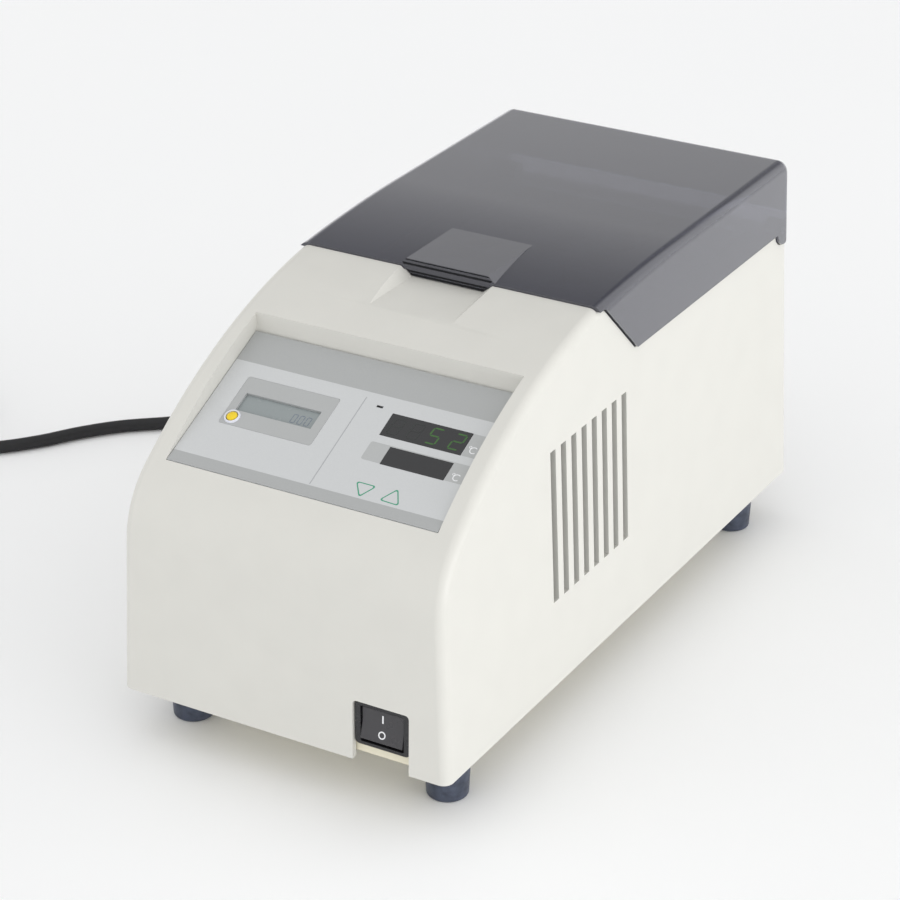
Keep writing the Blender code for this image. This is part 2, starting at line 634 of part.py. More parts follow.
def cavity_outline():
    """The inside of the cover, open below, one wall in from the case's outline."""
    bottom = COVER_BOTTOM - WALL
    ceiling = LAND_HEIGHT - WALL
    end_y = SLOPE_CENTRE[0] - math.sqrt((SLOPE_RADIUS - WALL) ** 2 - (ceiling - SLOPE_CENTRE[1]) ** 2)
    points = front_and_slope(WALL, bottom, end_y)
    length = math.hypot(*BULKHEAD_DIRECTION)
    along = (BULKHEAD_DIRECTION[0] / length, BULKHEAD_DIRECTION[1] / length)
    inner = (LAND_END_Y + WALL * along[1], LAND_HEIGHT - WALL * along[0])
    top = crossing(inner, along, (0, ceiling), (1, 0))
    foot = crossing(inner, along, (0, DECK_HEIGHT - WALL), (1, 0))
    points += [top, foot, (rear_y(DECK_HEIGHT - WALL, WALL), DECK_HEIGHT - WALL)]
    points.append((rear_y(bottom, WALL), bottom))
    return points


# Panel frame: x across, y up the panel, z out of its face

PANEL_MATRIX = (Matrix.Translation((0, from_front(PANEL_FOOT_FROM_FRONT), PANEL_FOOT_HEIGHT))
                @ Matrix.Rotation(PANEL_TILT, 4, "X"))
PANEL_TOP_Y = (PANEL_MATRIX @ Vector((0, PANEL_LENGTH, -PANEL_THICKNESS))).y
RECESS_FLOOR = -PANEL_THICKNESS - SEAT_GAP


def panel_box(name, place, size, low, high, grow=0.0, **more):
    """A box on the panel: centre and size on its plane, low and high along its normal."""
    half = (size[0] / 2 + grow, size[1] / 2 + grow)
    return box(name, (place[0] - half[0], place[1] - half[1], low),
               (place[0] + half[0], place[1] + half[1], high), matrix=PANEL_MATRIX, **more)


def recess_outline(floor, spare):
    """Side outline of the panel's recess, its floor this far from the panel's face."""
    def place(up, out):
        point = PANEL_MATRIX @ Vector((0, up, out))
        return (point.y, point.z)
    foot = place(-FIT_GAP - spare, floor - spare)
    back_y = PANEL_TOP_Y + FIT_GAP + spare
    along = (math.cos(PANEL_TILT), math.sin(PANEL_TILT))
    back = crossing(foot, along, (back_y, 0), (0, 1))
    above = SLOPE_TOP + WALL
    mouth = place(-FIT_GAP - spare, 0)
    return [foot, back, (back_y, above), (mouth[0], above), mouth]


def scoop(name, spare):
    """The wedge of the finger scoop, with its floor and sides moved out by spare."""
    bm = bmesh.new()
    bmesh.ops.create_cube(bm, size=2.0)
    start_y = from_front(SCOOP_START_FROM_FRONT)
    end_y = from_front(TAB_FRONT_FROM_FRONT)
    floor_slope = (SCOOP_END_HEIGHT - SCOOP_START_HEIGHT) / (end_y - start_y)
    floor_flare = (SCOOP_FLOOR_HALF_WIDTH - SCOOP_HALF_WIDTH) / (end_y - start_y)
    side_slope = (SCOOP_TOP_HALF_WIDTH - SCOOP_FLOOR_HALF_WIDTH) / (RIDGE_HEIGHT - SCOOP_END_HEIGHT)
    near = start_y - SCOOP_RUN_OUT - spare
    far = end_y + SCOOP_UNDER_TAB
    for vertex in bm.verts:
        y = near if vertex.co.y < 0 else far
        floor = SCOOP_START_HEIGHT + floor_slope * (y - start_y)
        flat = SCOOP_HALF_WIDTH + floor_flare * (y - start_y) + spare
        height = floor - spare if vertex.co.z < 0 else SLOPE_TOP + WALL
        side = 1 if vertex.co.x > 0 else -1
        vertex.co = Vector((side * (flat + side_slope * (height - floor)), y, height))
    return finish_object(name, mesh_from(bm, name), None, CUTTERS)


def vent_boxes(side):
    tools = []
    for i in range(VENT_COUNT):
        y = from_front(VENT_FIRST_FROM_FRONT + i * VENT_PITCH)
        inner = half_width(VENT_TOP) - 2 * WALL
        outer = half_width(VENT_BOTTOM) + WALL
        low_x, high_x = (inner, outer) if side > 0 else (-outer, -inner)
        tools.append(box(f"vent_{'right' if side > 0 else 'left'}_{i + 1}",
                         (low_x, y - VENT_WIDTH / 2, VENT_BOTTOM),
                         (high_x, y + VENT_WIDTH / 2, VENT_TOP)))
    return tools


def boss_places():
    x = half_width(COVER_BOTTOM) - BOSS_INSET
    return [(side * x, from_front(distance), name)
            for distance, end in ((BOSS_FRONT_FROM_FRONT, "front"), (BOSS_REAR_FROM_FRONT, "rear"))
            for side, name in ((-1, f"{end}_left"), (1, f"{end}_right"))]


CHASSIS_TOP = CHASSIS_BOTTOM + SHEET
HINGE_Y = from_front(HINGE_FROM_FRONT)
EAR_POCKET_X = half_width(HINGE_HEIGHT) + LID_PROUD - LID_WALL - EAR_GAP
SWITCH_FLANGE_FROM_FRONT = SWITCH_FACE_FROM_FRONT + SWITCH_BEZEL_THICKNESS + SEAT_GAP


def hinge_lug(side):
    """The lug on the deck that holds one hinge pin: a round top on an upright block."""
    inner = side * (EAR_POCKET_X - HINGE_LUG_LENGTH)
    outer = side * EAR_POCKET_X
    name = "right" if side > 0 else "left"
    low, high = sorted((inner, outer))
    lug = cylinder(f"hinge_lug_round_{name}", HINGE_LUG_RADIUS, (low, HINGE_Y, HINGE_HEIGHT), (1, 0, 0),
                   high - low)
    block = box(f"hinge_lug_block_{name}", (low, HINGE_Y - HINGE_LUG_RADIUS, DECK_HEIGHT - WALL),
                (high, HINGE_Y + HINGE_LUG_RADIUS, HINGE_HEIGHT))
    return [lug, block]


def ear_pocket(side):
    """Room beside the hinge for one of the lid's ears and its swing."""
    name = "right" if side > 0 else "left"
    low, high = sorted((side * EAR_POCKET_X, side * (EAR_POCKET_X + EAR_POCKET_REACH)))
    radius = EAR_RADIUS + EAR_GAP
    pocket = cylinder(f"ear_pocket_{name}", radius, (low, HINGE_Y, HINGE_HEIGHT), (1, 0, 0), high - low,
                      segments=32)
    slot = box(f"ear_swing_{name}", (low, HINGE_Y, HINGE_HEIGHT - radius),
               (high, HINGE_Y + 2 * EAR_RADIUS, HINGE_HEIGHT + radius))
    return [pocket, slot]


def make_cover():
    """The moulded cover: drafted shell, panel recess, finger scoop, deck, vents and notches."""
    def on_front_and_slope(middle):
        return middle.y < RIDGE_Y - MM * 0.1 and middle.z > COVER_BOTTOM + MM * 0.1

    def on_front_and_top(middle):
        return on_front_and_slope(middle) or middle.z > LAND_HEIGHT and middle.y < HINGE_Y

    def on_rear(middle):
        return middle.y > HINGE_Y and COVER_BOTTOM + MM < middle.z < DECK_HEIGHT - MM
    rounded = [(on_front_and_top, CORNER_RADIUS, 4), (on_rear, REAR_CORNER_RADIUS, 3)]
    inner_rounded = [(on_front_and_slope, CORNER_RADIUS - WALL, 2)]
    cover = drafted_body("casing_cover", case_outline(), 0.0, rounded, IVORY, PARTS)
    cut(cover, side_prism("room_behind_ridge", room_outline(), -CASE_WIDTH, CASE_WIDTH))
    cavity = drafted_body("cover_cavity", cavity_outline(), -WALL, inner_rounded)
    half_panel = PANEL_WIDTH / 2 + FIT_GAP
    cut(cavity, side_prism("recess_wall", recess_outline(RECESS_FLOOR, WALL), -half_panel - WALL,
                           half_panel + WALL), scoop("scoop_wall", WALL))
    cut(cover, cavity, scoop("finger_scoop", 0.0),
        side_prism("panel_recess", recess_outline(RECESS_FLOOR, 0), -half_panel, half_panel))
    opening = (PANEL_WIDTH - 2 * PANEL_LEDGE, PANEL_LENGTH - 2 * PANEL_LEDGE)
    cut(cover, panel_box("panel_opening", (0, PANEL_LENGTH / 2), opening, RECESS_FLOOR - 2 * WALL,
                         RECESS_FLOOR + WALL / 2))
    for x, y, name in board_places():
        post = cylinder(f"board_post_{name}", BOARD_POST_RADIUS, (x, y, -BOARD_DEPTH + SEAT_GAP), (0, 0, 1),
                        BOARD_DEPTH + RECESS_FLOOR - SEAT_GAP - WALL / 2, segments=SMALL_SEGMENTS,
                        matrix=PANEL_MATRIX)
        join(cover, post)
    for side in (-1, 1):
        cut(cover, *vent_boxes(side))
        join(cover, *hinge_lug(side))
        cut(cover, *ear_pocket(side))
    centre_y = from_front(CHAMBER_CENTRE_FROM_FRONT)
    cut(cover, box("chamber_opening",
                   (-CHAMBER_WIDTH / 2 - FIT_GAP, centre_y - CHAMBER_LENGTH / 2 - FIT_GAP,
                    DECK_HEIGHT - 2 * WALL),
                   (CHAMBER_WIDTH / 2 + FIT_GAP, centre_y + CHAMBER_LENGTH / 2 + FIT_GAP,
                    DECK_HEIGHT + WALL)))
    for x, y, name in boss_places():
        side = 1 if x > 0 else -1
        bottom = CHASSIS_TOP + SEAT_GAP
        boss = cylinder(f"boss_{name}", BOSS_RADIUS, (x, y, bottom), (0, 0, 1), BOSS_HEIGHT,
                        segments=SMALL_SEGMENTS)
        wall_x = side * (half_width(bottom + BOSS_HEIGHT) - WALL / 2)
        low, high = sorted((x, wall_x))
        web = box(f"boss_web_{name}", (low, y - WALL / 2, bottom), (high, y + WALL / 2, bottom + BOSS_HEIGHT))
        join(cover, boss, web)
        cut(cover, cylinder(f"boss_pilot_{name}", BOSS_PILOT_RADIUS, (x, y, bottom - WALL), (0, 0, 1),
                            BOSS_PILOT_DEPTH + WALL, segments=SMALL_SEGMENTS))
    notch_half = SWITCH_BEZEL[0] / 2 + NOTCH_GAP
    notch_top = SWITCH_Z + SWITCH_BEZEL[1] / 2 + NOTCH_GAP
    notch = box("switch_notch", (SWITCH_X - notch_half, from_front(-WALL), COVER_BOTTOM - NOTCH_BELOW_COVER),
                (SWITCH_X + notch_half, from_front(2.5 * WALL), notch_top), bevel=NOTCH_CORNER)
    rear_notch = box("rear_notch", (-REAR_NOTCH_HALF_WIDTH, from_front(CASE_DEPTH - 2.5 * WALL),
                                    COVER_BOTTOM - NOTCH_BELOW_COVER),
                     (REAR_NOTCH_HALF_WIDTH, from_front(CASE_DEPTH + WALL), REAR_NOTCH_TOP),
                     bevel=NOTCH_CORNER)
    cut(cover, notch, rear_notch)
    for side in (-1, 1):
        low, high = sorted((side * (EAR_POCKET_X - HINGE_LUG_LENGTH - MM), side * (EAR_POCKET_X + WALL)))
        cut(cover, cylinder(f"hinge_bore_{side}", HINGE_PIN_RADIUS + TURN_GAP, (low, HINGE_Y, HINGE_HEIGHT),
                            (1, 0, 0), high - low, segments=SMALL_SEGMENTS))


def board_places():
    """Where the display board is held: across and up the panel."""
    x = PANEL_WIDTH / 2 - PANEL_LEDGE / 2
    return [(side * x, up, f"{end}_{name}")
            for up, end in ((BOARD_POST_INSET, "low"), (PANEL_LENGTH - BOARD_POST_INSET, "high"))
            for side, name in ((-1, "left"), (1, "right"))]


# Lid

LID_FRONT_Y = RIDGE_Y + SEAT_GAP
LID_CROWN_Y = from_front(LID_CROWN_FROM_FRONT)
LID_CROWN_RADIUS = (((LID_CROWN_Y - LID_FRONT_Y) ** 2 + (LID_TOP - LID_FRONT_TOP) ** 2)
                    / (2 * (LID_TOP - LID_FRONT_TOP)))
LID_REAR_Y = from_front(LID_REAR_FROM_FRONT)
LID_BOTTOM = DECK_HEIGHT + SEAT_GAP


def lid_top_arc(inset, start_y, steps):
    """The lid's crowned top from start_y back to its flat rear stretch."""
    centre = (LID_CROWN_Y, LID_TOP - LID_CROWN_RADIUS)
    radius = LID_CROWN_RADIUS - inset
    start = math.acos((start_y - centre[0]) / radius)
    return arc(centre, radius, start, math.pi / 2, steps)


def below_lid_outline():
    """What is cut away below the lid: over the land, the bulkhead and the deck, and round its ears."""
    margin = LID_WALL
    below = HINGE_HEIGHT - 2 * EAR_RADIUS
    first = -math.radians(18)
    last = math.asin((HINGE_HEIGHT - LID_BOTTOM) / EAR_RADIUS) - math.pi
    ear = arc((HINGE_Y, HINGE_HEIGHT), EAR_RADIUS, first, last, 9)
    rise = (LID_REAR_Y + margin - ear[0][0]) / math.tan(-first)
    points = [(LID_REAR_Y + margin, below), (LID_REAR_Y + margin, ear[0][1] + rise)] + ear
    points += [(BULKHEAD_FOOT_Y + EAR_GAP, LID_BOTTOM), (LAND_END_Y + EAR_GAP, LAND_HEIGHT + SEAT_GAP)]
    points += [(LID_FRONT_Y - margin, LAND_HEIGHT + SEAT_GAP), (LID_FRONT_Y - margin, below)]
    return points


def make_lid():
    """The smoked lid: a crowned shell open below and in front, with ears and a finger tab."""
    corner = (LID_REAR_Y - LID_REAR_RADIUS, LID_TOP - LID_REAR_RADIUS)
    spare_bottom = HINGE_HEIGHT - 1.3 * EAR_RADIUS
    outline = lid_top_arc(0, LID_FRONT_Y, 8)
    outline += arc(corner, LID_REAR_RADIUS, math.pi / 2, 0, 4)
    outline += [(LID_REAR_Y, spare_bottom), (LID_FRONT_Y, spare_bottom)]

    def on_top_and_rear(middle):
        on_rear = middle.y > HINGE_Y and middle.z > LID_BOTTOM
        return on_rear or middle.z > LID_FRONT_TOP - LID_WALL / 10
    rounded = [(on_top_and_rear, LID_EDGE_RADIUS, 4)]
    lid = drafted_body("lid", outline, LID_PROUD, rounded, SMOKED, PARTS)
    cut(lid, side_prism("below_lid", below_lid_outline(), -CASE_WIDTH, CASE_WIDTH))

    inner_rear = LID_REAR_Y - LID_WALL
    far_front = RIDGE_Y - LID_HOLLOW_RUN_OUT
    inner_corner = (inner_rear - LID_REAR_RADIUS + LID_WALL, LID_TOP - LID_REAR_RADIUS)
    hollow = lid_top_arc(LID_WALL, far_front, 10)
    hollow += arc(inner_corner, LID_REAR_RADIUS - LID_WALL, math.pi / 2, 0, 3)
    hollow += [(inner_rear, HINGE_HEIGHT - 2 * EAR_RADIUS), (far_front, HINGE_HEIGHT - 2 * EAR_RADIUS)]

    def on_inner_edges(middle):
        return middle.y > far_front + LID_WALL / 10 and middle.z > HINGE_HEIGHT - EAR_RADIUS
    inside = drafted_body("lid_hollow", hollow, LID_PROUD - LID_WALL,
                          [(on_inner_edges, LID_EDGE_RADIUS - LID_WALL, 3)])
    cut(lid, inside)
    side_x = half_width(LID_BACK_WALL_BOTTOM) + LID_PROUD - LID_WALL
    cut(lid, box("lid_rear_gap", (-side_x, inner_rear - LID_REAR_RADIUS, HINGE_HEIGHT - 2 * EAR_RADIUS),
                 (side_x, LID_REAR_Y + WALL, LID_BACK_WALL_BOTTOM)))
    join(lid, tab_wedge(), tab_lip())
    for side in (-1, 1):
        start = EAR_POCKET_X
        end = half_width(HINGE_HEIGHT) + LID_PROUD - LID_WALL + HINGE_PIN_REACH + SEAT_GAP
        low, high = sorted((side * start, side * end))
        cut(lid, cylinder(f"ear_bore_{side}", HINGE_PIN_RADIUS + TURN_GAP, (low, HINGE_Y, HINGE_HEIGHT),
                          (1, 0, 0), high - low, segments=SMALL_SEGMENTS))
    move_origin(lid, (0, HINGE_Y, HINGE_HEIGHT))


def tab_wedge():
    """The flat finger tab that rises from the lid's crown towards its front."""
    bm = bmesh.new()
    bmesh.ops.create_cube(bm, size=2.0)
    front = from_front(TAB_FRONT_FROM_FRONT)
    rear = LID_CROWN_Y - math.sqrt(LID_CROWN_RADIUS ** 2 - (LID_CROWN_RADIUS - LID_TOP + TAB_TOP) ** 2)
    bottom = LID_FRONT_TOP - LID_WALL * 0.7
    for vertex in bm.verts:
        height = TAB_TOP if vertex.co.z > 0 else bottom
        side = 1 if vertex.co.x > 0 else -1
        if vertex.co.y < 0:
            flare = TAB_FLARE * (TAB_TOP - height)
            vertex.co = Vector((side * (TAB_HALF_WIDTH + flare), front, height))
        else:
            sink = TAB_TOP - height
            vertex.co = Vector((side * TAB_HALF_WIDTH, rear - sink * 0.2, height + sink * 0.9))
    return finish_object("tab_wedge", mesh_from(bm, "tab_wedge"), None, CUTTERS)


def tab_lip():
    """The tab's front lip, which hangs into the finger scoop between its sloping sides."""
    bm = bmesh.new()
    bmesh.ops.create_cube(bm, size=2.0)
    front = from_front(TAB_FRONT_FROM_FRONT)
    side_slope = (SCOOP_TOP_HALF_WIDTH - SCOOP_FLOOR_HALF_WIDTH) / (RIDGE_HEIGHT - SCOOP_END_HEIGHT)
    low = SCOOP_END_HEIGHT + 2 * SEAT_GAP
    high = LID_FRONT_TOP - LID_WALL * 0.3
    for vertex in bm.verts:
        height = high if vertex.co.z > 0 else low
        side = 1 if vertex.co.x > 0 else -1
        half = SCOOP_FLOOR_HALF_WIDTH + side_slope * (height - SCOOP_END_HEIGHT) - 2 * FIT_GAP
        y = front if vertex.co.y < 0 else front + LID_WALL
        vertex.co = Vector((side * half, y, height))
    return finish_object("tab_lip", mesh_from(bm, "tab_lip"), None, CUTTERS)


def make_hinge_pins():
    for side, name in ((-1, "left"), (1, "right")):
        start = EAR_POCKET_X - HINGE_LUG_LENGTH
        end = half_width(HINGE_HEIGHT) + LID_PROUD - LID_WALL + HINGE_PIN_REACH
        low, high = sorted((side * start, side * end))
        cylinder(f"hinge_pin_{name}", HINGE_PIN_RADIUS, (low, HINGE_Y, HINGE_HEIGHT), (1, 0, 0), high - low,
                 STEEL, PARTS, segments=SMALL_SEGMENTS)


# Chassis, feet and screws

def foot_places():
    return [(side * FOOT_X, from_front(distance), f"{end}_{name}")
            for distance, end in ((FOOT_FRONT_FROM_FRONT, "front"), (FOOT_REAR_FROM_FRONT, "rear"))
            for side, name in ((-1, "left"), (1, "right"))]


def make_chassis():
    """The folded steel base: a plate with lips, a switch flange and a rear flange."""
    half = half_width(CHASSIS_TOP) - WALL - CHASSIS_SIDE_GAP
    front = from_front(SWITCH_FLANGE_FROM_FRONT)
    rear = rear_y(COVER_BOTTOM, WALL + CHASSIS_SIDE_GAP + FIT_GAP)
    chassis = box("base_chassis", (-half, front, CHASSIS_BOTTOM), (half, rear, CHASSIS_TOP), CREAM_STEEL,
                  PARTS)
    lip_front = from_front(BOSS_FRONT_FROM_FRONT + 2 * BOSS_RADIUS)
    lip_rear = from_front(BOSS_REAR_FROM_FRONT - 2 * BOSS_RADIUS)
    lip_top = CHASSIS_TOP + CHASSIS_LIP
    lip_half = half_width(lip_top) - WALL - CHASSIS_SIDE_GAP
    for side, name in ((-1, "left"), (1, "right")):
        low, high = sorted((side * lip_half, side * (lip_half - SHEET)))
        join(chassis, box(f"chassis_lip_{name}", (low, lip_front, CHASSIS_BOTTOM + SHEET / 4),
                          (high, lip_rear, lip_top)))
    margin = SWITCH_BEZEL[0] / 2 + SWITCH_FLANGE_MARGIN
    join(chassis,
         box("switch_flange", (SWITCH_X - margin, front, CHASSIS_BOTTOM),
             (min(SWITCH_X + margin, half), front + SHEET, SWITCH_FLANGE_TOP)),
         box("rear_flange", (-REAR_NOTCH_HALF_WIDTH - REAR_FLANGE_MARGIN, rear - SHEET, CHASSIS_BOTTOM),
             (REAR_NOTCH_HALF_WIDTH + REAR_FLANGE_MARGIN, rear, REAR_NOTCH_TOP + REAR_FLANGE_MARGIN)))
    cut(chassis, box("switch_cutout",
                     (SWITCH_X - SWITCH_BODY[0] / 2 - FIT_GAP, front - WALL,
                      SWITCH_Z - SWITCH_BODY[1] / 2 - FIT_GAP),
                     (SWITCH_X + SWITCH_BODY[0] / 2 + FIT_GAP, front + 2 * SHEET,
                      SWITCH_Z + SWITCH_BODY[1] / 2 + FIT_GAP)))
    cut(chassis, cylinder("relief_hole", RELIEF_NECK_RADIUS + FIT_GAP, (CORD_X, rear - WALL, CORD_Z),
                          (0, 1, 0), 2 * WALL))
    for x, y, name in foot_places():
        cut(chassis, cylinder(f"foot_hole_{name}", SCREW_RADIUS + FIT_GAP, (x, y, CHASSIS_BOTTOM - SHEET),
                              (0, 0, 1), 3 * SHEET, segments=SMALL_SEGMENTS))
    for x, y, name in boss_places():
        cut(chassis, cylinder(f"boss_hole_{name}", COVER_SCREW_RADIUS + FIT_GAP,
                              (x, y, CHASSIS_BOTTOM - SHEET), (0, 0, 1), 3 * SHEET,
                              segments=SMALL_SEGMENTS))


def make_feet():
    """Turned rubber feet with a counterbore, and the screws that hold them."""
    top = CHASSIS_BOTTOM - SEAT_GAP
    rise = FOOT_COUNTERBORE_DEPTH
    corner = (FOOT_BOTTOM_RADIUS - FOOT_ROUNDING, FOOT_ROUNDING)
    profile = [(FOOT_BORE_RADIUS, top), (FOOT_RADIUS, top), (FOOT_RADIUS, top * 0.55)]
    profile += arc(corner, FOOT_ROUNDING, 0, -math.pi / 2, 3)
    profile += [(FOOT_COUNTERBORE_RADIUS, 0), (FOOT_COUNTERBORE_RADIUS, rise), (FOOT_BORE_RADIUS, rise),
                (FOOT_BORE_RADIUS, top)]
    head_top = rise - SEAT_GAP
    shank_top = CHASSIS_TOP + SCREW_ABOVE_SHEET
    screw = [(0, shank_top), (SCREW_RADIUS, shank_top), (SCREW_RADIUS, head_top),
             (SCREW_HEAD_RADIUS, head_top), (SCREW_HEAD_RADIUS, head_top - SCREW_HEAD_HEIGHT * 0.6),
             (SCREW_HEAD_RADIUS * 0.6, head_top - SCREW_HEAD_HEIGHT), (0, head_top - SCREW_HEAD_HEIGHT)]
    for x, y, name in foot_places():
        turned(f"foot_{name}", profile, (x, y, 0), (0, 0, 1), FOOT_RUBBER, PARTS)
        turned(f"foot_screw_{name}", screw, (x, y, 0), (0, 0, 1), STEEL, PARTS, segments=SMALL_SEGMENTS)


def make_cover_screws():
    head_top = CHASSIS_BOTTOM - SEAT_GAP
    tip = CHASSIS_TOP + COVER_SCREW_LENGTH
    profile = [(0, tip), (COVER_SCREW_RADIUS, tip), (COVER_SCREW_RADIUS, head_top),
               (COVER_SCREW_HEAD_RADIUS, head_top),
               (COVER_SCREW_HEAD_RADIUS * 0.7, head_top - COVER_SCREW_HEAD_HEIGHT),
               (0, head_top - COVER_SCREW_HEAD_HEIGHT)]
    for x, y, name in boss_places():
        turned(f"cover_screw_{name}", profile, (x, y, 0), (0, 0, 1), STEEL, PARTS,
               segments=SMALL_SEGMENTS)


# Front panel and what is behind it

def make_panel():
    """The front panel with its windows, and the timer, displays, lamp, keys and their board."""
    panel = panel_box("front_panel", (0, PANEL_LENGTH / 2), (PANEL_WIDTH, PANEL_LENGTH), -PANEL_THICKNESS, 0,
                      material=PANEL_FILM, collection=PARTS)
    through = (-2 * PANEL_THICKNESS, PANEL_THICKNESS)
    timer_hole = (TIMER_SIZE[0] - 2 * TIMER_FLANGE, TIMER_SIZE[1] - 2 * TIMER_FLANGE)
    rebate_floor = TIMER_PROUD - TIMER_FLANGE_THICKNESS - SEAT_GAP
    cut(panel, panel_box("timer_hole", TIMER_PLACE, timer_hole, *through, grow=FIT_GAP),
        panel_box("timer_rebate", TIMER_PLACE, TIMER_SIZE, rebate_floor, PANEL_THICKNESS, grow=SEAT_GAP))
    for name, place, size in (("temp_hole", TEMP_PLACE, TEMP_SIZE), ("set_hole", SET_PLACE, SET_SIZE),
                              ("lamp_hole", LAMP_PLACE, LAMP_SIZE),
                              ("key_down_hole", KEY_DOWN_PLACE, KEY_SIZE),
                              ("key_up_hole", KEY_UP_PLACE, KEY_SIZE)):
        cut(panel, panel_box(name, place, size, *through, grow=SEAT_GAP))


def make_timer():
    """The clip-in timer: flanged body, liquid crystal window and a push button."""
    hole = (TIMER_SIZE[0] - 2 * TIMER_FLANGE, TIMER_SIZE[1] - 2 * TIMER_FLANGE)
    face = TIMER_PROUD
    body = panel_box("timer_module", TIMER_PLACE, TIMER_SIZE, face - TIMER_FLANGE_THICKNESS, face,
                     material=TIMER_GREY, collection=PARTS)
    join(body, panel_box("timer_box", TIMER_PLACE, hole, -TIMER_BODY_DEPTH, face - TIMER_FLANGE_THICKNESS / 2))
    lcd_top = face - LCD_SINK
    lcd_bottom = lcd_top - LCD_THICKNESS
    cut(body, panel_box("lcd_pocket", LCD_PLACE, LCD_SIZE, lcd_bottom - SEAT_GAP, face + MM, grow=SEAT_GAP))
    panel_box("timer_lcd", LCD_PLACE, LCD_SIZE, lcd_bottom, lcd_top, material=LCD_GLASS, collection=PARTS)

    skirt = face - BUTTON_SKIRT
    well_floor = skirt - BUTTON_TRAVEL - SEAT_GAP
    stem_end = skirt - BUTTON_STEM_LENGTH
    bore_end = stem_end - BUTTON_TRAVEL - SEAT_GAP
    cut(body, cylinder("button_well", BUTTON_RADIUS + SEAT_GAP, (*BUTTON_PLACE, well_floor), (0, 0, 1),
                       face - well_floor + MM, matrix=PANEL_MATRIX),
        cylinder("button_bore", BUTTON_STEM_RADIUS + SEAT_GAP, (*BUTTON_PLACE, bore_end), (0, 0, 1),
                 well_floor - bore_end + MM, segments=SMALL_SEGMENTS, matrix=PANEL_MATRIX))
    top = face + BUTTON_PROUD
    profile = [(0, top), (BUTTON_RADIUS * 0.8, top), (BUTTON_RADIUS, top - BUTTON_RADIUS * 0.2),
               (BUTTON_RADIUS, skirt), (BUTTON_STEM_RADIUS, skirt), (BUTTON_STEM_RADIUS, stem_end),
               (0, stem_end)]
    turned("timer_button", profile, (*BUTTON_PLACE, 0), (0, 0, 1), YELLOW, PARTS, matrix=PANEL_MATRIX)


def make_displays():
    """Two digit displays behind dark windows, and the small lamp."""
    board_face = -BOARD_DEPTH
    for name, place, size in (("temp", TEMP_PLACE, TEMP_SIZE), ("set", SET_PLACE, SET_SIZE)):
        panel_box(f"{name}_window", place, size, -LENS_THICKNESS, 0, material=LENS_BLACK, collection=PARTS)
        panel_box(f"{name}_display", place, (size[0] - 2 * MM, size[1]), board_face + SEAT_GAP,
                  -LENS_THICKNESS - SEAT_GAP, material=BLACK_PLASTIC, collection=PARTS)
    panel_box("heater_lamp", LAMP_PLACE, LAMP_SIZE, board_face + SEAT_GAP, 0, material=LENS_BLACK,
              collection=PARTS)


def make_keys():
    """Two flush panel keys, each with a stem in the bore of its switch on the board."""
    board_face = -BOARD_DEPTH
    switch_top = board_face + SEAT_GAP + KEY_SWITCH_HEIGHT
    for name, place in (("down", KEY_DOWN_PLACE), ("up", KEY_UP_PLACE)):
        key = panel_box(f"key_{name}", place, KEY_SIZE, -PANEL_THICKNESS, 0, material=PANEL_FILM,
                        collection=PARTS)
        stem_end = switch_top - KEY_STEM_REACH
        join(key, cylinder(f"key_stem_{name}", KEY_STEM_RADIUS, (*place, stem_end), (0, 0, 1),
                           -PANEL_THICKNESS / 2 - stem_end, segments=SMALL_SEGMENTS, matrix=PANEL_MATRIX))
        switch = panel_box(f"key_switch_{name}", place, (KEY_SWITCH_SIZE, KEY_SWITCH_SIZE),
                           board_face + SEAT_GAP, switch_top, material=BLACK_PLASTIC, collection=PARTS)
        bore_end = stem_end - KEY_TRAVEL - SEAT_GAP
        cut(switch, cylinder(f"key_bore_{name}", KEY_STEM_RADIUS + SEAT_GAP, (*place, bore_end), (0, 0, 1),
                             switch_top - bore_end + MM, segments=SMALL_SEGMENTS, matrix=PANEL_MATRIX))


def make_display_board():
    """The board behind the panel that carries the displays, the lamp and the key switches."""
    size = (PANEL_WIDTH - PANEL_LEDGE, PANEL_LENGTH - 2 * PANEL_LEDGE)
    panel_box("display_board", (0, PANEL_LENGTH / 2), size, -BOARD_DEPTH - BOARD_THICKNESS, -BOARD_DEPTH,
              material=BOARD_GREEN, collection=PARTS)


# Power switch

ROCKER_PIVOT_Y = from_front(SWITCH_FACE_FROM_FRONT + ROCKER_PIVOT_DEPTH)


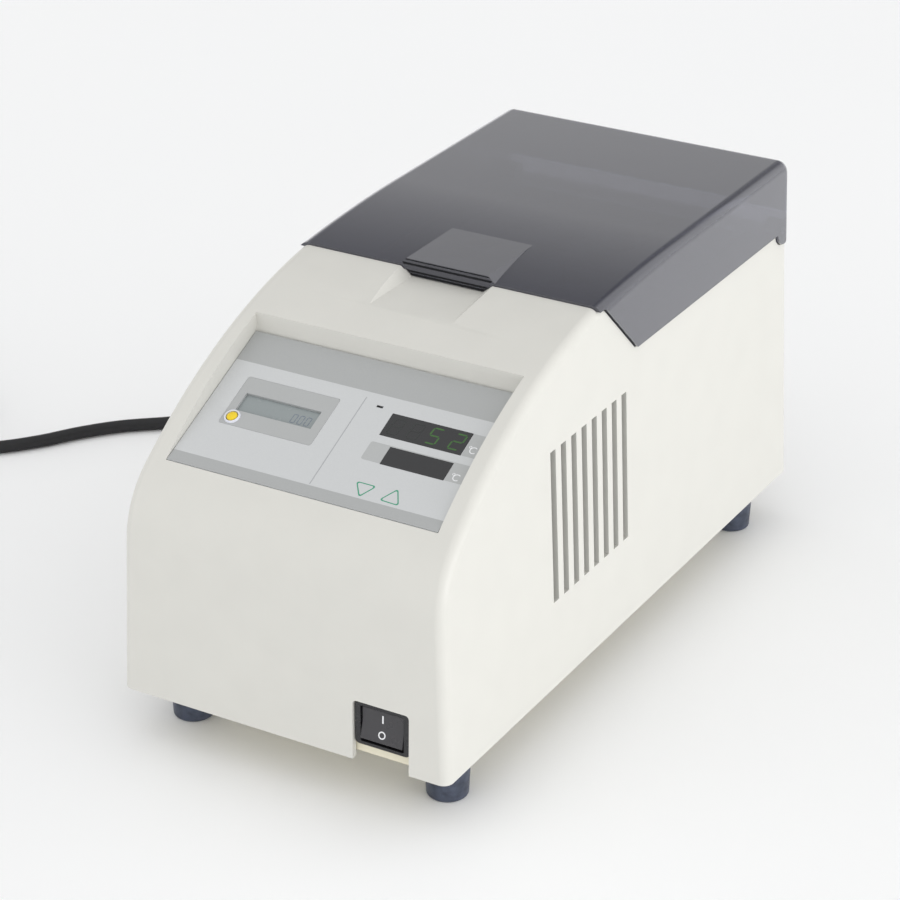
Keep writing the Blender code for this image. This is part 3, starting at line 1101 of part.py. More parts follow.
def make_switch():
    """The rocker switch: bezel and body in the chassis flange, and the rocker on its pivot."""
    face = from_front(SWITCH_FACE_FROM_FRONT)
    back = from_front(SWITCH_FACE_FROM_FRONT + SWITCH_BEZEL_THICKNESS)
    half = (SWITCH_BEZEL[0] / 2, SWITCH_BEZEL[1] / 2)
    body = box("switch_body", (SWITCH_X - half[0], face, SWITCH_Z - half[1]),
               (SWITCH_X + half[0], back, SWITCH_Z + half[1]), BLACK_PLASTIC, PARTS, bevel=SWITCH_EDGE)
    body_half = (SWITCH_BODY[0] / 2, SWITCH_BODY[1] / 2)
    join(body, box("switch_case", (SWITCH_X - body_half[0], face + SWITCH_BEZEL_THICKNESS / 2,
                                   SWITCH_Z - body_half[1]),
                   (SWITCH_X + body_half[0], face + SWITCH_BODY_DEPTH, SWITCH_Z + body_half[1])))
    well_half = (ROCKER_WIDTH / 2 + FIT_GAP, ROCKER_RADIUS + FIT_GAP)
    well_depth = ROCKER_PIVOT_DEPTH + ROCKER_RADIUS * 0.75
    cut(body, box("rocker_well", (SWITCH_X - well_half[0], face - MM, SWITCH_Z - well_half[1]),
                  (SWITCH_X + well_half[0], face + well_depth, SWITCH_Z + well_half[1])))
    pin_half = well_half[0] + ROCKER_PIN_REACH
    cut(body, cylinder("rocker_bore", ROCKER_PIN_RADIUS + TURN_GAP,
                       (SWITCH_X - pin_half, ROCKER_PIVOT_Y, SWITCH_Z), (1, 0, 0), 2 * pin_half,
                       segments=SMALL_SEGMENTS))
    tag_y = face + SWITCH_BODY_DEPTH
    for side in (-1, 1):
        tag_x = SWITCH_X + side * SWITCH_TAG_SPACING / 2
        join(body, box(f"switch_tag_{side}",
                       (tag_x - SWITCH_TAG[0] / 2, tag_y - MM, SWITCH_Z - SWITCH_TAG[2] / 2),
                       (tag_x + SWITCH_TAG[0] / 2, tag_y + SWITCH_TAG[1], SWITCH_Z + SWITCH_TAG[2] / 2)))

    lean = math.asin(ROCKER_HALF_HEIGHT / ROCKER_RADIUS)
    outline = [(ROCKER_RADIUS * -math.cos(lean), ROCKER_HALF_HEIGHT),
               (ROCKER_RADIUS * -math.cos(lean) + ROCKER_DISH, 0),
               (ROCKER_RADIUS * -math.cos(lean), -ROCKER_HALF_HEIGHT)]
    outline += arc((0, 0), ROCKER_RADIUS, math.pi + lean, math.pi * 1.5 + math.radians(15), 4)[1:]
    outline += [(ROCKER_RADIUS * 0.42, 0)]
    outline += arc((0, 0), ROCKER_RADIUS, math.pi / 2 - math.radians(15), math.pi - lean, 4)[:-1]
    turn = (Matrix.Translation((SWITCH_X, ROCKER_PIVOT_Y, SWITCH_Z))
            @ Matrix.Rotation(-ROCKER_TILT, 4, "X"))
    rocker = side_prism("switch_rocker", outline, -ROCKER_WIDTH / 2, ROCKER_WIDTH / 2, BLACK_PLASTIC, PARTS,
                        matrix=turn)
    reach = ROCKER_WIDTH / 2 + FIT_GAP + ROCKER_PIN_REACH - SEAT_GAP
    join(rocker, cylinder("rocker_pin", ROCKER_PIN_RADIUS, (SWITCH_X - reach, ROCKER_PIVOT_Y, SWITCH_Z),
                          (1, 0, 0), 2 * reach, segments=SMALL_SEGMENTS))


# Heated chamber

CHAMBER_Y = from_front(CHAMBER_CENTRE_FROM_FRONT)
TRAY_FLOOR_TOP = DECK_HEIGHT - CHAMBER_DEPTH


def chamber_box(name, shrink, low, high, **more):
    """A box round the chamber's middle, shrunk on every side, between two heights."""
    half_x = CHAMBER_WIDTH / 2 - shrink
    half_y = CHAMBER_LENGTH / 2 - shrink
    return box(name, (-half_x, CHAMBER_Y - half_y, low), (half_x, CHAMBER_Y + half_y, high), **more)


def make_chamber():
    """The chamber tray, heater plate, film heater, sensor, thermal cut-out and jacket."""
    rim_bottom = DECK_HEIGHT + SEAT_GAP
    tray_bottom = TRAY_FLOOR_TOP - TRAY_SHEET
    tray = chamber_box("chamber_tray", 0, tray_bottom, rim_bottom + TRAY_SHEET / 2, material=STEEL,
                       collection=PARTS)
    join(tray, chamber_box("tray_rim", -TRAY_FLANGE, rim_bottom, rim_bottom + TRAY_SHEET))
    cut(tray, chamber_box("tray_hollow", TRAY_SHEET, TRAY_FLOOR_TOP, rim_bottom + WALL))

    plate_top = tray_bottom - SEAT_GAP
    plate_bottom = plate_top - HEATER_PLATE_THICKNESS
    plate = chamber_box("heater_plate", HEATER_PLATE_INSET, plate_bottom, plate_top, material=ALUMINIUM,
                        collection=PARTS)
    sensor_z = (plate_top + plate_bottom) / 2
    plate_front = CHAMBER_Y - CHAMBER_LENGTH / 2 + HEATER_PLATE_INSET
    cut(plate, cylinder("sensor_bore", SENSOR_RADIUS + TURN_GAP, (0, plate_front - WALL, sensor_z), (0, 1, 0),
                        SENSOR_IN_PLATE + WALL + SEAT_GAP, segments=SMALL_SEGMENTS))
    outside = SENSOR_LENGTH - SENSOR_IN_PLATE
    cylinder("temperature_sensor", SENSOR_RADIUS, (0, plate_front - outside, sensor_z), (0, 1, 0),
             SENSOR_LENGTH, STEEL, PARTS, segments=SMALL_SEGMENTS)

    film_top = plate_bottom - SEAT_GAP
    film_bottom = film_top - FILM_HEATER_THICKNESS
    chamber_box("film_heater", 3 * HEATER_PLATE_INSET, film_bottom, film_top, material=SILICONE,
                collection=PARTS)
    cutout_top = film_bottom - SEAT_GAP
    cylinder("thermal_cutout", CUTOUT_RADIUS, (0, CHAMBER_Y, cutout_top - CUTOUT_HEIGHT), (0, 0, 1),
             CUTOUT_HEIGHT, BLACK_PLASTIC, PARTS)

    jacket_top = DECK_HEIGHT - WALL - JACKET_TOP_GAP
    jacket_floor = film_bottom - SEAT_GAP
    jacket = chamber_box("insulation_jacket", -JACKET_THICKNESS, jacket_floor - JACKET_THICKNESS, jacket_top,
                         material=FOAM, collection=PARTS)
    cut(jacket, chamber_box("jacket_hollow", -FIT_GAP, jacket_floor, jacket_top + WALL),
        cylinder("cutout_pocket", CUTOUT_RADIUS + FIT_GAP, (0, CHAMBER_Y, jacket_floor - CUTOUT_HEIGHT
                                                             - SEAT_GAP), (0, 0, 1),
                 CUTOUT_HEIGHT + WALL),
        cylinder("sensor_way", SENSOR_RADIUS + 2 * FIT_GAP, (0, plate_front - outside - SENSOR_WAY, sensor_z),
                 (0, 1, 0), outside + SENSOR_WAY + MM, segments=SMALL_SEGMENTS))


def make_blocks():
    """Two lift-out aluminium blocks, each with a grid of tube wells."""
    width = CHAMBER_WIDTH / 2 - TRAY_SHEET - BLOCK_GAP
    inner_length = CHAMBER_LENGTH - 2 * TRAY_SHEET
    length = (inner_length - 3 * BLOCK_GAP) / 2
    bottom = TRAY_FLOOR_TOP + SEAT_GAP
    top = bottom + BLOCK_HEIGHT
    for name, side in (("front", -1), ("rear", 1)):
        middle_y = CHAMBER_Y + side * (length + BLOCK_GAP) / 2
        block = box(f"block_{name}", (-width, middle_y - length / 2, bottom),
                    (width, middle_y + length / 2, top), ALUMINIUM, PARTS, bevel=BLOCK_BEVEL, segments=1)
        for row in range(WELL_ROWS):
            for column in range(WELL_COLUMNS):
                x = (column - (WELL_COLUMNS - 1) / 2) * WELL_PITCH_X
                y = middle_y + (row - (WELL_ROWS - 1) / 2) * WELL_PITCH_Y
                cut(block, cylinder(f"well_{name}_{row + 1}_{column + 1}", WELL_RADIUS,
                                    (x, y, top - WELL_DEPTH), (0, 0, 1), WELL_DEPTH + WALL, segments=16))


# Parts on the chassis

def make_main_board():
    """The control board on four standoffs, with its fuse, and the mains terminal beside it."""
    board_bottom = CHASSIS_TOP + 2 * SEAT_GAP + STANDOFF_HEIGHT
    middle_y = from_front(MAIN_BOARD_FROM_FRONT)
    half = (MAIN_BOARD_SIZE[0] / 2, MAIN_BOARD_SIZE[1] / 2)
    box("control_board", (-half[0], middle_y - half[1], board_bottom),
        (half[0], middle_y + half[1], board_bottom + BOARD_THICKNESS), BOARD_GREEN, PARTS)
    for i, (sx, sy) in enumerate(((-1, -1), (1, -1), (-1, 1), (1, 1))):
        cylinder(f"standoff_{i + 1}", STANDOFF_RADIUS,
                 (sx * (half[0] - MAIN_BOARD_HOLE_INSET), middle_y + sy * (half[1] - MAIN_BOARD_HOLE_INSET),
                  CHASSIS_TOP + SEAT_GAP), (0, 0, 1), STANDOFF_HEIGHT, STEEL, PARTS, segments=6)
    board_top = board_bottom + BOARD_THICKNESS
    holder_x = half[0] - 3 * FUSE_HOLDER_SIZE[0]
    holder_top = board_top + SEAT_GAP + FUSE_HOLDER_SIZE[2]
    holder = box("fuse_holder", (holder_x - FUSE_HOLDER_SIZE[0] / 2, middle_y - FUSE_HOLDER_SIZE[1] / 2,
                                 board_top + SEAT_GAP),
                 (holder_x + FUSE_HOLDER_SIZE[0] / 2, middle_y + FUSE_HOLDER_SIZE[1] / 2, holder_top),
                 BLACK_PLASTIC, PARTS)
    fuse_z = holder_top
    cut(holder, cylinder("fuse_seat", FUSE_CAP_RADIUS + SEAT_GAP,
                         (holder_x, middle_y - FUSE_LENGTH / 2 - SEAT_GAP, fuse_z), (0, 1, 0),
                         FUSE_LENGTH + 2 * SEAT_GAP, segments=SMALL_SEGMENTS))
    cap = FUSE_CAP_LENGTH
    ends = FUSE_LENGTH
    profile = [(0, ends), (FUSE_CAP_RADIUS, ends), (FUSE_CAP_RADIUS, ends - cap), (FUSE_RADIUS, ends - cap),
               (FUSE_RADIUS, cap), (FUSE_CAP_RADIUS, cap), (FUSE_CAP_RADIUS, 0), (0, 0)]
    turned("mains_fuse", profile, (holder_x, middle_y - FUSE_LENGTH / 2, fuse_z), (0, 1, 0), STEEL, PARTS,
           segments=SMALL_SEGMENTS)


def make_terminal():
    """The mains terminal block behind the cord's strain relief."""
    rear = rear_y(COVER_BOTTOM, WALL + CHASSIS_SIDE_GAP + FIT_GAP) - SHEET
    low_y = rear - RELIEF_INNER - TERMINAL_BEHIND_RELIEF - TERMINAL_SIZE[1]
    bottom = CHASSIS_TOP + SEAT_GAP
    block = box("terminal_block", (CORD_X - TERMINAL_SIZE[0] / 2, low_y, bottom),
                (CORD_X + TERMINAL_SIZE[0] / 2, low_y + TERMINAL_SIZE[1], bottom + TERMINAL_SIZE[2]),
                BLACK_PLASTIC, PARTS)
    for i in range(TERMINAL_WAYS):
        x = CORD_X + (i - (TERMINAL_WAYS - 1) / 2) * TERMINAL_SIZE[0] / TERMINAL_WAYS
        cut(block, cylinder(f"terminal_screw_{i + 1}", TERMINAL_SCREW_RADIUS,
                            (x, low_y + TERMINAL_SIZE[1] / 2, bottom + TERMINAL_SIZE[2] / 2), (0, 0, 1),
                            TERMINAL_SIZE[2], segments=SMALL_SEGMENTS),
            cylinder(f"terminal_way_{i + 1}", TERMINAL_WAY_RADIUS,
                     (x, low_y + TERMINAL_SIZE[1] / 2, bottom + TERMINAL_WAY_HEIGHT), (0, 1, 0),
                     TERMINAL_SIZE[1], segments=SMALL_SEGMENTS))


def make_transformer():
    """A small mains transformer: laminated core, taped coil and mounting feet."""
    y = from_front(TRANSFORMER_FROM_FRONT)
    width, depth, height = TRANSFORMER_CORE
    bottom = CHASSIS_TOP + SEAT_GAP
    core = box("transformer_core", (TRANSFORMER_X - width / 2, y - depth / 2, bottom),
               (TRANSFORMER_X + width / 2, y + depth / 2, bottom + height), STEEL, PARTS)
    middle_z = bottom + height / 2
    join(core, box("transformer_feet", (TRANSFORMER_X - width / 2 - TRANSFORMER_FOOT, y - depth / 2, bottom),
                   (TRANSFORMER_X + width / 2 + TRANSFORMER_FOOT, y + depth / 2, bottom + SHEET)))
    window = width * 0.3
    coil_low = middle_z - TRANSFORMER_COIL_HEIGHT / 2
    coil_high = middle_z + TRANSFORMER_COIL_HEIGHT / 2
    for side in (-1, 1):
        x = TRANSFORMER_X + side * window
        cut(core, box(f"core_window_{side}", (x - width * 0.1, y - depth, coil_low - SEAT_GAP),
                      (x + width * 0.1, y + depth, coil_high + SEAT_GAP)))
    coil = box("transformer_coil", (TRANSFORMER_X - width * 0.4 + SEAT_GAP,
                                    y - depth / 2 - TRANSFORMER_COIL_OVERHANG, coil_low),
               (TRANSFORMER_X + width * 0.4 - SEAT_GAP, y + depth / 2 + TRANSFORMER_COIL_OVERHANG,
                coil_high), COPPER_COIL, PARTS, bevel=TRANSFORMER_COIL_EDGE)
    cut(coil, box("coil_middle", (TRANSFORMER_X - width * 0.2 - SEAT_GAP, y - depth / 2 - SEAT_GAP,
                                  coil_low - MM),
                  (TRANSFORMER_X + width * 0.2 + SEAT_GAP, y + depth / 2 + SEAT_GAP, coil_high + MM)))


def make_heatsink():
    """The finned heat sink of the heater's switching device, beside the vents."""
    width, length, height = HEATSINK_SIZE
    y = from_front(HEATSINK_FROM_FRONT)
    bottom = CHASSIS_TOP + SEAT_GAP
    pitch = (width - HEATSINK_FIN_THICKNESS) / (HEATSINK_FINS - 1)
    points = [(-width / 2, 0), (width / 2, 0)]
    for i in reversed(range(HEATSINK_FINS)):
        low = -width / 2 + i * pitch
        high = low + HEATSINK_FIN_THICKNESS
        if i < HEATSINK_FINS - 1:
            points.append((high, HEATSINK_BASE))
        points += [(high, height), (low, height)]
        if i:
            points.append((low, HEATSINK_BASE))
    bm = outline_bmesh("heatsink", points, length / 2)
    upright = Matrix(((1, 0, 0, HEATSINK_X), (0, 0, 1, y), (0, 1, 0, bottom), (0, 0, 0, 1)))
    bmesh.ops.transform(bm, matrix=upright, verts=bm.verts)
    finish_object("heatsink", mesh_from(bm, "heatsink"), ALUMINIUM, PARTS)


# Mains cord

def make_strain_relief():
    """The tapered strain relief in the rear flange, bored for the cord."""
    rear = rear_y(COVER_BOTTOM, WALL + CHASSIS_SIDE_GAP + FIT_GAP)
    face = SEAT_GAP
    bore = CORD_DIAMETER / 2 + FIT_GAP
    neck = RELIEF_NECK_RADIUS
    socket = RELIEF_LENGTH - RELIEF_SOCKET
    profile = [(0, socket), (bore, socket), (bore, RELIEF_LENGTH), (RELIEF_TIP_RADIUS, RELIEF_LENGTH),
               (RELIEF_RADIUS, face + RELIEF_FLANGE), (RELIEF_FLANGE_RADIUS, face + RELIEF_FLANGE),
               (RELIEF_FLANGE_RADIUS, face), (neck, face), (neck, -RELIEF_INNER), (0, -RELIEF_INNER)]
    relief = turned("strain_relief", profile, (CORD_X, rear, CORD_Z), (0, 1, 0), BLACK_PLASTIC, PARTS)
    for i in range(RELIEF_SLOTS):
        y = rear + RELIEF_SLOT_START + i * RELIEF_SLOT_PITCH
        for side in (-1, 1):
            low, high = sorted((CORD_Z + side * (bore + RELIEF_CORE), CORD_Z + side * RELIEF_FLANGE_RADIUS))
            cut(relief, box(f"relief_slot_{side}_{i + 1}", (CORD_X - RELIEF_FLANGE_RADIUS, y, low),
                            (CORD_X + RELIEF_FLANGE_RADIUS, y + RELIEF_SLOT_WIDTH, high)))


def smooth_route(points, step):
    """Points about a step apart on one smooth curve through the route's own points."""
    route = [Vector(point) * MM for point in points]
    fine = []
    for i in range(len(route) - 1):
        before = route[max(i - 1, 0)]
        after = route[min(i + 2, len(route) - 1)]
        lead = route[i] + (route[i + 1] - before) / 6
        tail = route[i + 1] - (after - route[i]) / 6
        piece = interpolate_bezier(route[i], lead, tail, route[i + 1], 12)
        fine += piece if i == 0 else piece[1:]
    lengths = [0.0]
    for first, second in zip(fine, fine[1:]):
        lengths.append(lengths[-1] + (second - first).length)
    count = max(2, round(lengths[-1] / step))
    result = []
    k = 0
    for i in range(count + 1):
        target = lengths[-1] * i / count
        while k < len(lengths) - 2 and lengths[k + 1] < target:
            k += 1
        span = lengths[k + 1] - lengths[k]
        t = (target - lengths[k]) / span if span else 0
        result.append(fine[k].lerp(fine[k + 1], min(max(t, 0), 1)))
    return result


def tube(name, points, radius, material):
    """A round cord along the points, with filled ends."""
    curve = bpy.data.curves.new(name, "CURVE")
    curve.dimensions = "3D"
    curve.bevel_depth = radius
    curve.bevel_resolution = 2
    curve.use_fill_caps = True
    spline = curve.splines.new("POLY")
    spline.points.add(len(points) - 1)
    for point, place in zip(spline.points, points):
        point.co = (*place, 1)
    curve.materials.append(material)
    item = bpy.data.objects.new(name, curve)
    PARTS.objects.link(item)
    return item


def make_cord():
    tube("mains_cord", smooth_route(CORD_ROUTE, CORD_STEP), CORD_DIAMETER / 2, CORD_BLACK)
    inner = COIL_MEAN_RADIUS - COIL_BUNDLE_WIDTH / 2
    outer = COIL_MEAN_RADIUS + COIL_BUNDLE_WIDTH / 2
    low = SEAT_GAP / 2
    high = low + COIL_BUNDLE_HEIGHT
    edge = CORD_DIAMETER / 3
    profile = [(inner + edge, high), (outer - edge, high), (outer, high - edge), (outer, low + edge),
               (outer - edge, low), (inner + edge, low), (inner, low + edge), (inner, high - edge),
               (inner + edge, high)]
    turned("cord_coil", profile, (*COIL_CENTRE, 0), (0, 0, 1), CORD_BLACK, PARTS, segments=32)
    tube("cord_tail", smooth_route(TAIL_ROUTE, CORD_STEP / 2), CORD_DIAMETER / 2, CORD_BLACK)


def make_plug():
    """The mains plug: tapered grip, rounded body, two flat blades and an earth pin."""
    x, y, z = PLUG_PLACE
    plug = cylinder("plug", PLUG_GRIP_RADII[0], (x, y, z), (0, 1, 0), PLUG_GRIP_LENGTH, BLACK_PLASTIC, PARTS,
                    segments=16, top_radius=PLUG_GRIP_RADII[1])
    tip = y + PLUG_LENGTH
    join(plug, box("plug_body", (x - PLUG_HALF_WIDTH, y + PLUG_GRIP_LENGTH - MM, z - PLUG_LOW),
                   (x + PLUG_HALF_WIDTH, tip, z + PLUG_HIGH), bevel=PLUG_EDGE))
    for side in (-1, 1):
        blade_x = x + side * BLADE_SPACING / 2
        join(plug, box(f"plug_blade_{side}", (blade_x - BLADE_THICKNESS / 2, tip - MM, z - BLADE_DROP),
                       (blade_x + BLADE_THICKNESS / 2, tip + BLADE_LENGTH, z - BLADE_DROP + BLADE_WIDTH)))
    join(plug, cylinder("plug_pin", EARTH_PIN_RADIUS, (x, tip - MM, z - EARTH_PIN_DROP), (0, 1, 0),
                        EARTH_PIN_LENGTH, segments=SMALL_SEGMENTS))


make_cover()
make_lid()
make_hinge_pins()
make_chassis()
make_feet()
make_cover_screws()
make_panel()
make_timer()
make_displays()
make_keys()
make_display_board()
make_switch()
make_chamber()
make_blocks()
make_main_board()
make_terminal()
make_transformer()
make_heatsink()
make_strain_relief()
make_cord()
make_plug()
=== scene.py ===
"""Looks of the block incubator: finishes, printed panel, smoked lid and mains cord.

Metres, +Z up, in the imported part's frame: X runs across the case and the front faces -Y.
"""

import math

import bmesh
import bpy
from mathutils import Matrix, Vector
from mathutils.geometry import interpolate_bezier


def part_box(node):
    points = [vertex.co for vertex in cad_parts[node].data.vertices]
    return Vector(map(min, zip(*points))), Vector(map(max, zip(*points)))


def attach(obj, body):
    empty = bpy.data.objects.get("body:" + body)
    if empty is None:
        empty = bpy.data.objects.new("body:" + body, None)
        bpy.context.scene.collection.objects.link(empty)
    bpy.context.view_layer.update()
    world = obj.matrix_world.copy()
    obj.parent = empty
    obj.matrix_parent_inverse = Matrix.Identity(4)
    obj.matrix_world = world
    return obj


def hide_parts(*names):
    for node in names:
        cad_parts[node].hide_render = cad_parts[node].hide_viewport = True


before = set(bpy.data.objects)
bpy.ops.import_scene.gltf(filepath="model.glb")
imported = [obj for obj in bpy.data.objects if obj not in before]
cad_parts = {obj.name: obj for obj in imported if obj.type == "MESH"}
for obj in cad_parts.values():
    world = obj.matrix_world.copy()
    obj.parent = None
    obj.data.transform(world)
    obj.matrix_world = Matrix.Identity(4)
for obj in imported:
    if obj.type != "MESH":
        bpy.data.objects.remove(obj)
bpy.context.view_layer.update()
MM = 0.001
CASE_DEPTH = 368.8 * MM


def mm(*values):
    """Lengths given in millimetres."""
    return tuple(value * MM for value in values)


def from_front(distance):
    """The y of a plane this far behind the cover's bottom front edge."""
    return distance - CASE_DEPTH / 2


# Clearances, as in the part
SEAT_GAP = 0.3 * MM
FIT_GAP = 0.35 * MM

# Case
CHAMBER_HALF_SIZE = mm(63, 73)
CHAMBER_CENTRE_Y = from_front(271 * MM)
CASE_WIDTH = 178 * MM
COVER_BOTTOM = 25.3 * MM
WALL = 3 * MM
SIDE_DRAFT = 0.0423
FRONT_DRAFT = 0.018
REAR_DRAFT = 0.022
FRONT_BLEND_RADIUS = 45 * MM
SLOPE_RADIUS = 266.8 * MM
SLOPE_TOP = 201.9 * MM
SLOPE_CENTRE = (from_front(190 * MM), SLOPE_TOP - SLOPE_RADIUS)
ABOVE_CASE = SLOPE_TOP + WALL
CORNER_RADIUS = 5 * MM
REAR_CORNER_RADIUS = 4 * MM
DECK_HEIGHT = 166.7 * MM
RIDGE_Y = from_front(153 * MM)
RIDGE_HEIGHT = SLOPE_CENTRE[1] + math.sqrt(SLOPE_RADIUS ** 2 - (SLOPE_CENTRE[0] - RIDGE_Y) ** 2)
LAND_END_Y = RIDGE_Y + 4.6 * MM
BULKHEAD_FOOT_Y = from_front(189 * MM)
EDGE_SOFTNESS = 0.35 * MM    # on the moulding's cut edges

# Lid
LID_WALL = 2.5 * MM
LID_PROUD = 1.5 * MM
LID_FRONT_TOP = RIDGE_HEIGHT + 1.18 * MM
LID_FRONT_Y = RIDGE_Y + SEAT_GAP
LID_CROWN_RISE = 4.2 * MM
LID_CROWN_Y = from_front(240 * MM)
LID_CROWN_RADIUS = ((LID_CROWN_Y - LID_FRONT_Y) ** 2 + LID_CROWN_RISE ** 2) / (2 * LID_CROWN_RISE)
LID_TOP = LID_FRONT_TOP + LID_CROWN_RISE
LID_EDGE_RADIUS = 5.5 * MM
LID_EDGE_SOFTNESS = 0.3 * MM
LID_HOLLOW_RUN_OUT = 20 * MM
LID_REAR_RADIUS = 7 * MM
LID_REAR_Y = from_front(366.6 * MM)
LID_INNER_REAR_Y = LID_REAR_Y - LID_WALL
LID_BACK_WALL_BOTTOM = 175.6 * MM
LAND_HEIGHT = LID_FRONT_TOP - LID_WALL - SEAT_GAP
# Width of the glowing strips that paint highlights on the lid's inner edges
HIGHLIGHT_STRIP_WIDTH = 0.5 * MM
HINGE_Y = from_front(359.1 * MM)
HINGE_HEIGHT = 167.5 * MM
EAR_RADIUS = 7.5 * MM
EAR_FRONT_ANGLE = math.radians(12)
EAR_GAP = 0.6 * MM
EAR_POCKET_REACH = 12 * MM
HINGE_LUG_RADIUS = 5.6 * MM
HINGE_LUG_LENGTH = 8 * MM

# Finger tab and scoop
TAB_TOP = LID_TOP - 1 * MM
TAB_HALF_WIDTH = 22.3 * MM
TAB_FLARE = 1.19
TAB_FRONT_Y = from_front(153.4 * MM)
# Drops of the dark lip faces, which show the acrylic's cut edges and paint the shade under the tab
LIP_FACES = (mm(0.3, 0.9), mm(2.1, 6.8), mm(7.2, 8.3))  # below the tab's top
LIP_FACE_PROUD = 0.05 * MM
SCOOP_START_Y = TAB_FRONT_Y - 32.7 * MM
SCOOP_RUN_OUT = 6 * MM
SCOOP_UNDER_TAB = 12 * MM
SCOOP_START_HEIGHT = LID_FRONT_TOP - 8 * MM
SCOOP_END_HEIGHT = LID_FRONT_TOP - 5.8 * MM
SCOOP_HALF_WIDTH = 22.4 * MM
SCOOP_FLOOR_HALF_WIDTH = 19.6 * MM
SCOOP_TOP_HALF_WIDTH = 25 * MM
SCOOP_SIDE_SLOPE = (SCOOP_TOP_HALF_WIDTH - SCOOP_FLOOR_HALF_WIDTH) / (RIDGE_HEIGHT - SCOOP_END_HEIGHT)

# Front panel, measured on its own plane from its lower edge: x across, y up, z out of its face
PANEL_TILT = math.radians(24.5)
PANEL_MATRIX = (Matrix.Translation((0, from_front(20.5 * MM), 141.2 * MM))
                @ Matrix.Rotation(PANEL_TILT, 4, "X"))
PANEL_WIDTH = 144 * MM
PANEL_LENGTH = 84.2 * MM
PANEL_THICKNESS = 1.5 * MM
PANEL_LEDGE = 6 * MM
FILM_BOTTOM = 0.02 * MM
FILM_TOP = 0.15 * MM
FILM_GAP = SEAT_GAP / 3
PRINT = 0.03 * MM            # height of a printed mark
PRINT_TOP = FILM_TOP + PRINT
RECESS_FLOOR = -PANEL_THICKNESS - SEAT_GAP
BANDS = (("top", mm(65.4, 84.2)), ("foot", mm(0, 6.4)))
DIVIDER = (mm(1.6, 34.5), mm(0.5, 55))
TIMER_PLACE = mm(-34.9, 42.3)
TIMER_SIZE = mm(50.4, 29.6)
TIMER_BODY_SIZE = mm(48, 27.2)
TIMER_PROUD = 0.2 * MM
TIMER_FLANGE_THICKNESS = 0.7 * MM
TIMER_CORNER = 1.2 * MM
TIMER_BODY_DEPTH = 9 * MM
LCD_PLACE = mm(-35.3, 42.1)
LCD_SIZE = mm(41, 10.7)
LCD_SINK = 1.3 * MM
LCD_THICKNESS = 1.4 * MM
LCD_DIGIT_PLACES = (mm(9, -1.2), mm(12.7, -1.2), mm(16.4, -1.2))
BUTTON_PLACE = mm(-55, 32.3)
BUTTON_RADIUS = 2.6 * MM
BUTTON_PROUD = 1.3 * MM
BUTTON_SKIRT = 2.5 * MM
BUTTON_DOME = 5.2 * MM
BUTTON_SHOULDER = 0.75 * MM
RING_PROFILE = (mm(3.05, 0), mm(3.05, 0.7), mm(3.3, 0.95), mm(3.7, 0.8), mm(4.0, 0), mm(3.05, 0))
TEMP_PLACE = mm(39.8, 49.9)
TEMP_SIZE = mm(42.4, 13.5)
TEMP_FIELD = mm(61.3, 43.2, 56.6, 0.4)    # left, low, high and corner radius
SET_PLACE = mm(43.8, 32.8)
SET_SIZE = mm(33, 10.5)
SET_FIELD = mm(17, 27.7, 38.7, 1.2)
DIGIT_PLACES = mm(-15.9, -5.8, 4.3, 16.2)
DEGREE_SIGNS = (("temp", mm(65.6, 47.4)), ("set", mm(65.6, 30.7)))
LENS_THICKNESS = 1.5 * MM
LAMP_PLACE = mm(10.6, 58.5)
LAMP_SIZE = mm(3.8, 1.8)
LAMP_SEEN = mm(3.2, 1.1)
KEY_PLACES = (mm(26.9, 12), mm(43.1, 12))
KEY_SIZE = mm(13.6, 10.4)
KEY_SIGNS = (("down", (mm(21.7, 15.3), mm(27.5, 7.0), mm(32.8, 15.2))),
             ("up", (mm(37.1, 8.4), mm(47.9, 7.9), mm(42.9, 17.0))))
KEY_SIGN_CORNER = 0.95 * MM
KEY_SIGN_LINE = 0.85 * MM

# Side vents
VENT_COUNT = 8
VENT_PITCH = 10.24 * MM
VENT_WIDTH = 5.1 * MM
VENT_FIRST_Y = from_front(105.4 * MM)
VENT_BOTTOM = 69.9 * MM
VENT_TOP = 147.5 * MM

# Power switch
SWITCH_PLACE = mm(53.8, 44.6)
SWITCH_BEZEL = mm(28.4, 22)
SWITCH_BEZEL_THICKNESS = 2 * MM
SWITCH_BODY = mm(25, 20.4)
SWITCH_BODY_DEPTH = 20 * MM
SWITCH_FACE_Y = from_front(1.6 * MM)
NOTCH_GAP = 0.6 * MM
NOTCH_CORNER = 2 * MM
NOTCH_BOTTOM = COVER_BOTTOM - 8 * MM
REAR_NOTCH_HALF_WIDTH = 40 * MM
REAR_NOTCH_TOP = 56.3 * MM
ROCKER_WIDTH = 22 * MM
ROCKER_RADIUS = 9 * MM
ROCKER_HALF_HEIGHT = 7.8 * MM
ROCKER_DISH = 0.9 * MM
ROCKER_PIVOT_DEPTH = 4.5 * MM
ROCKER_TILT = math.radians(8)
ROCKER_TAIL_ANGLE = math.radians(15)
SIGN_HEIGHTS = mm(0.02, 0.08)

# Feet
FOOT_RADIUS = 10.7 * MM
FOOT_BOTTOM_RADIUS = 10 * MM
FOOT_TOP = 28 * MM
FOOT_WAIST = 0.55
FOOT_TOP_EDGE = 0.4 * MM
FOOT_ROUNDING = 1.5 * MM
FOOT_COUNTERBORE_RADIUS = 4.6 * MM
FOOT_COUNTERBORE_DEPTH = 8 * MM
FOOT_BORE_RADIUS = 2.4 * MM

# Lift-out blocks
CHAMBER_DEPTH = 54 * MM
BLOCK_HALF_WIDTH = 61 * MM
BLOCK_LENGTH = 70.5 * MM
BLOCK_SPACING = 71.5 * MM
BLOCK_HEIGHT = 49 * MM
BLOCK_BEVEL = 1 * MM
WELL_RADIUS = 8.6 * MM
WELL_DEPTH = 42 * MM
WELL_CHAMFER = 0.7 * MM
WELL_COLUMNS = mm(-42, -14, 14, 42)
WELL_ROWS = mm(-21.5, 0, 21.5)

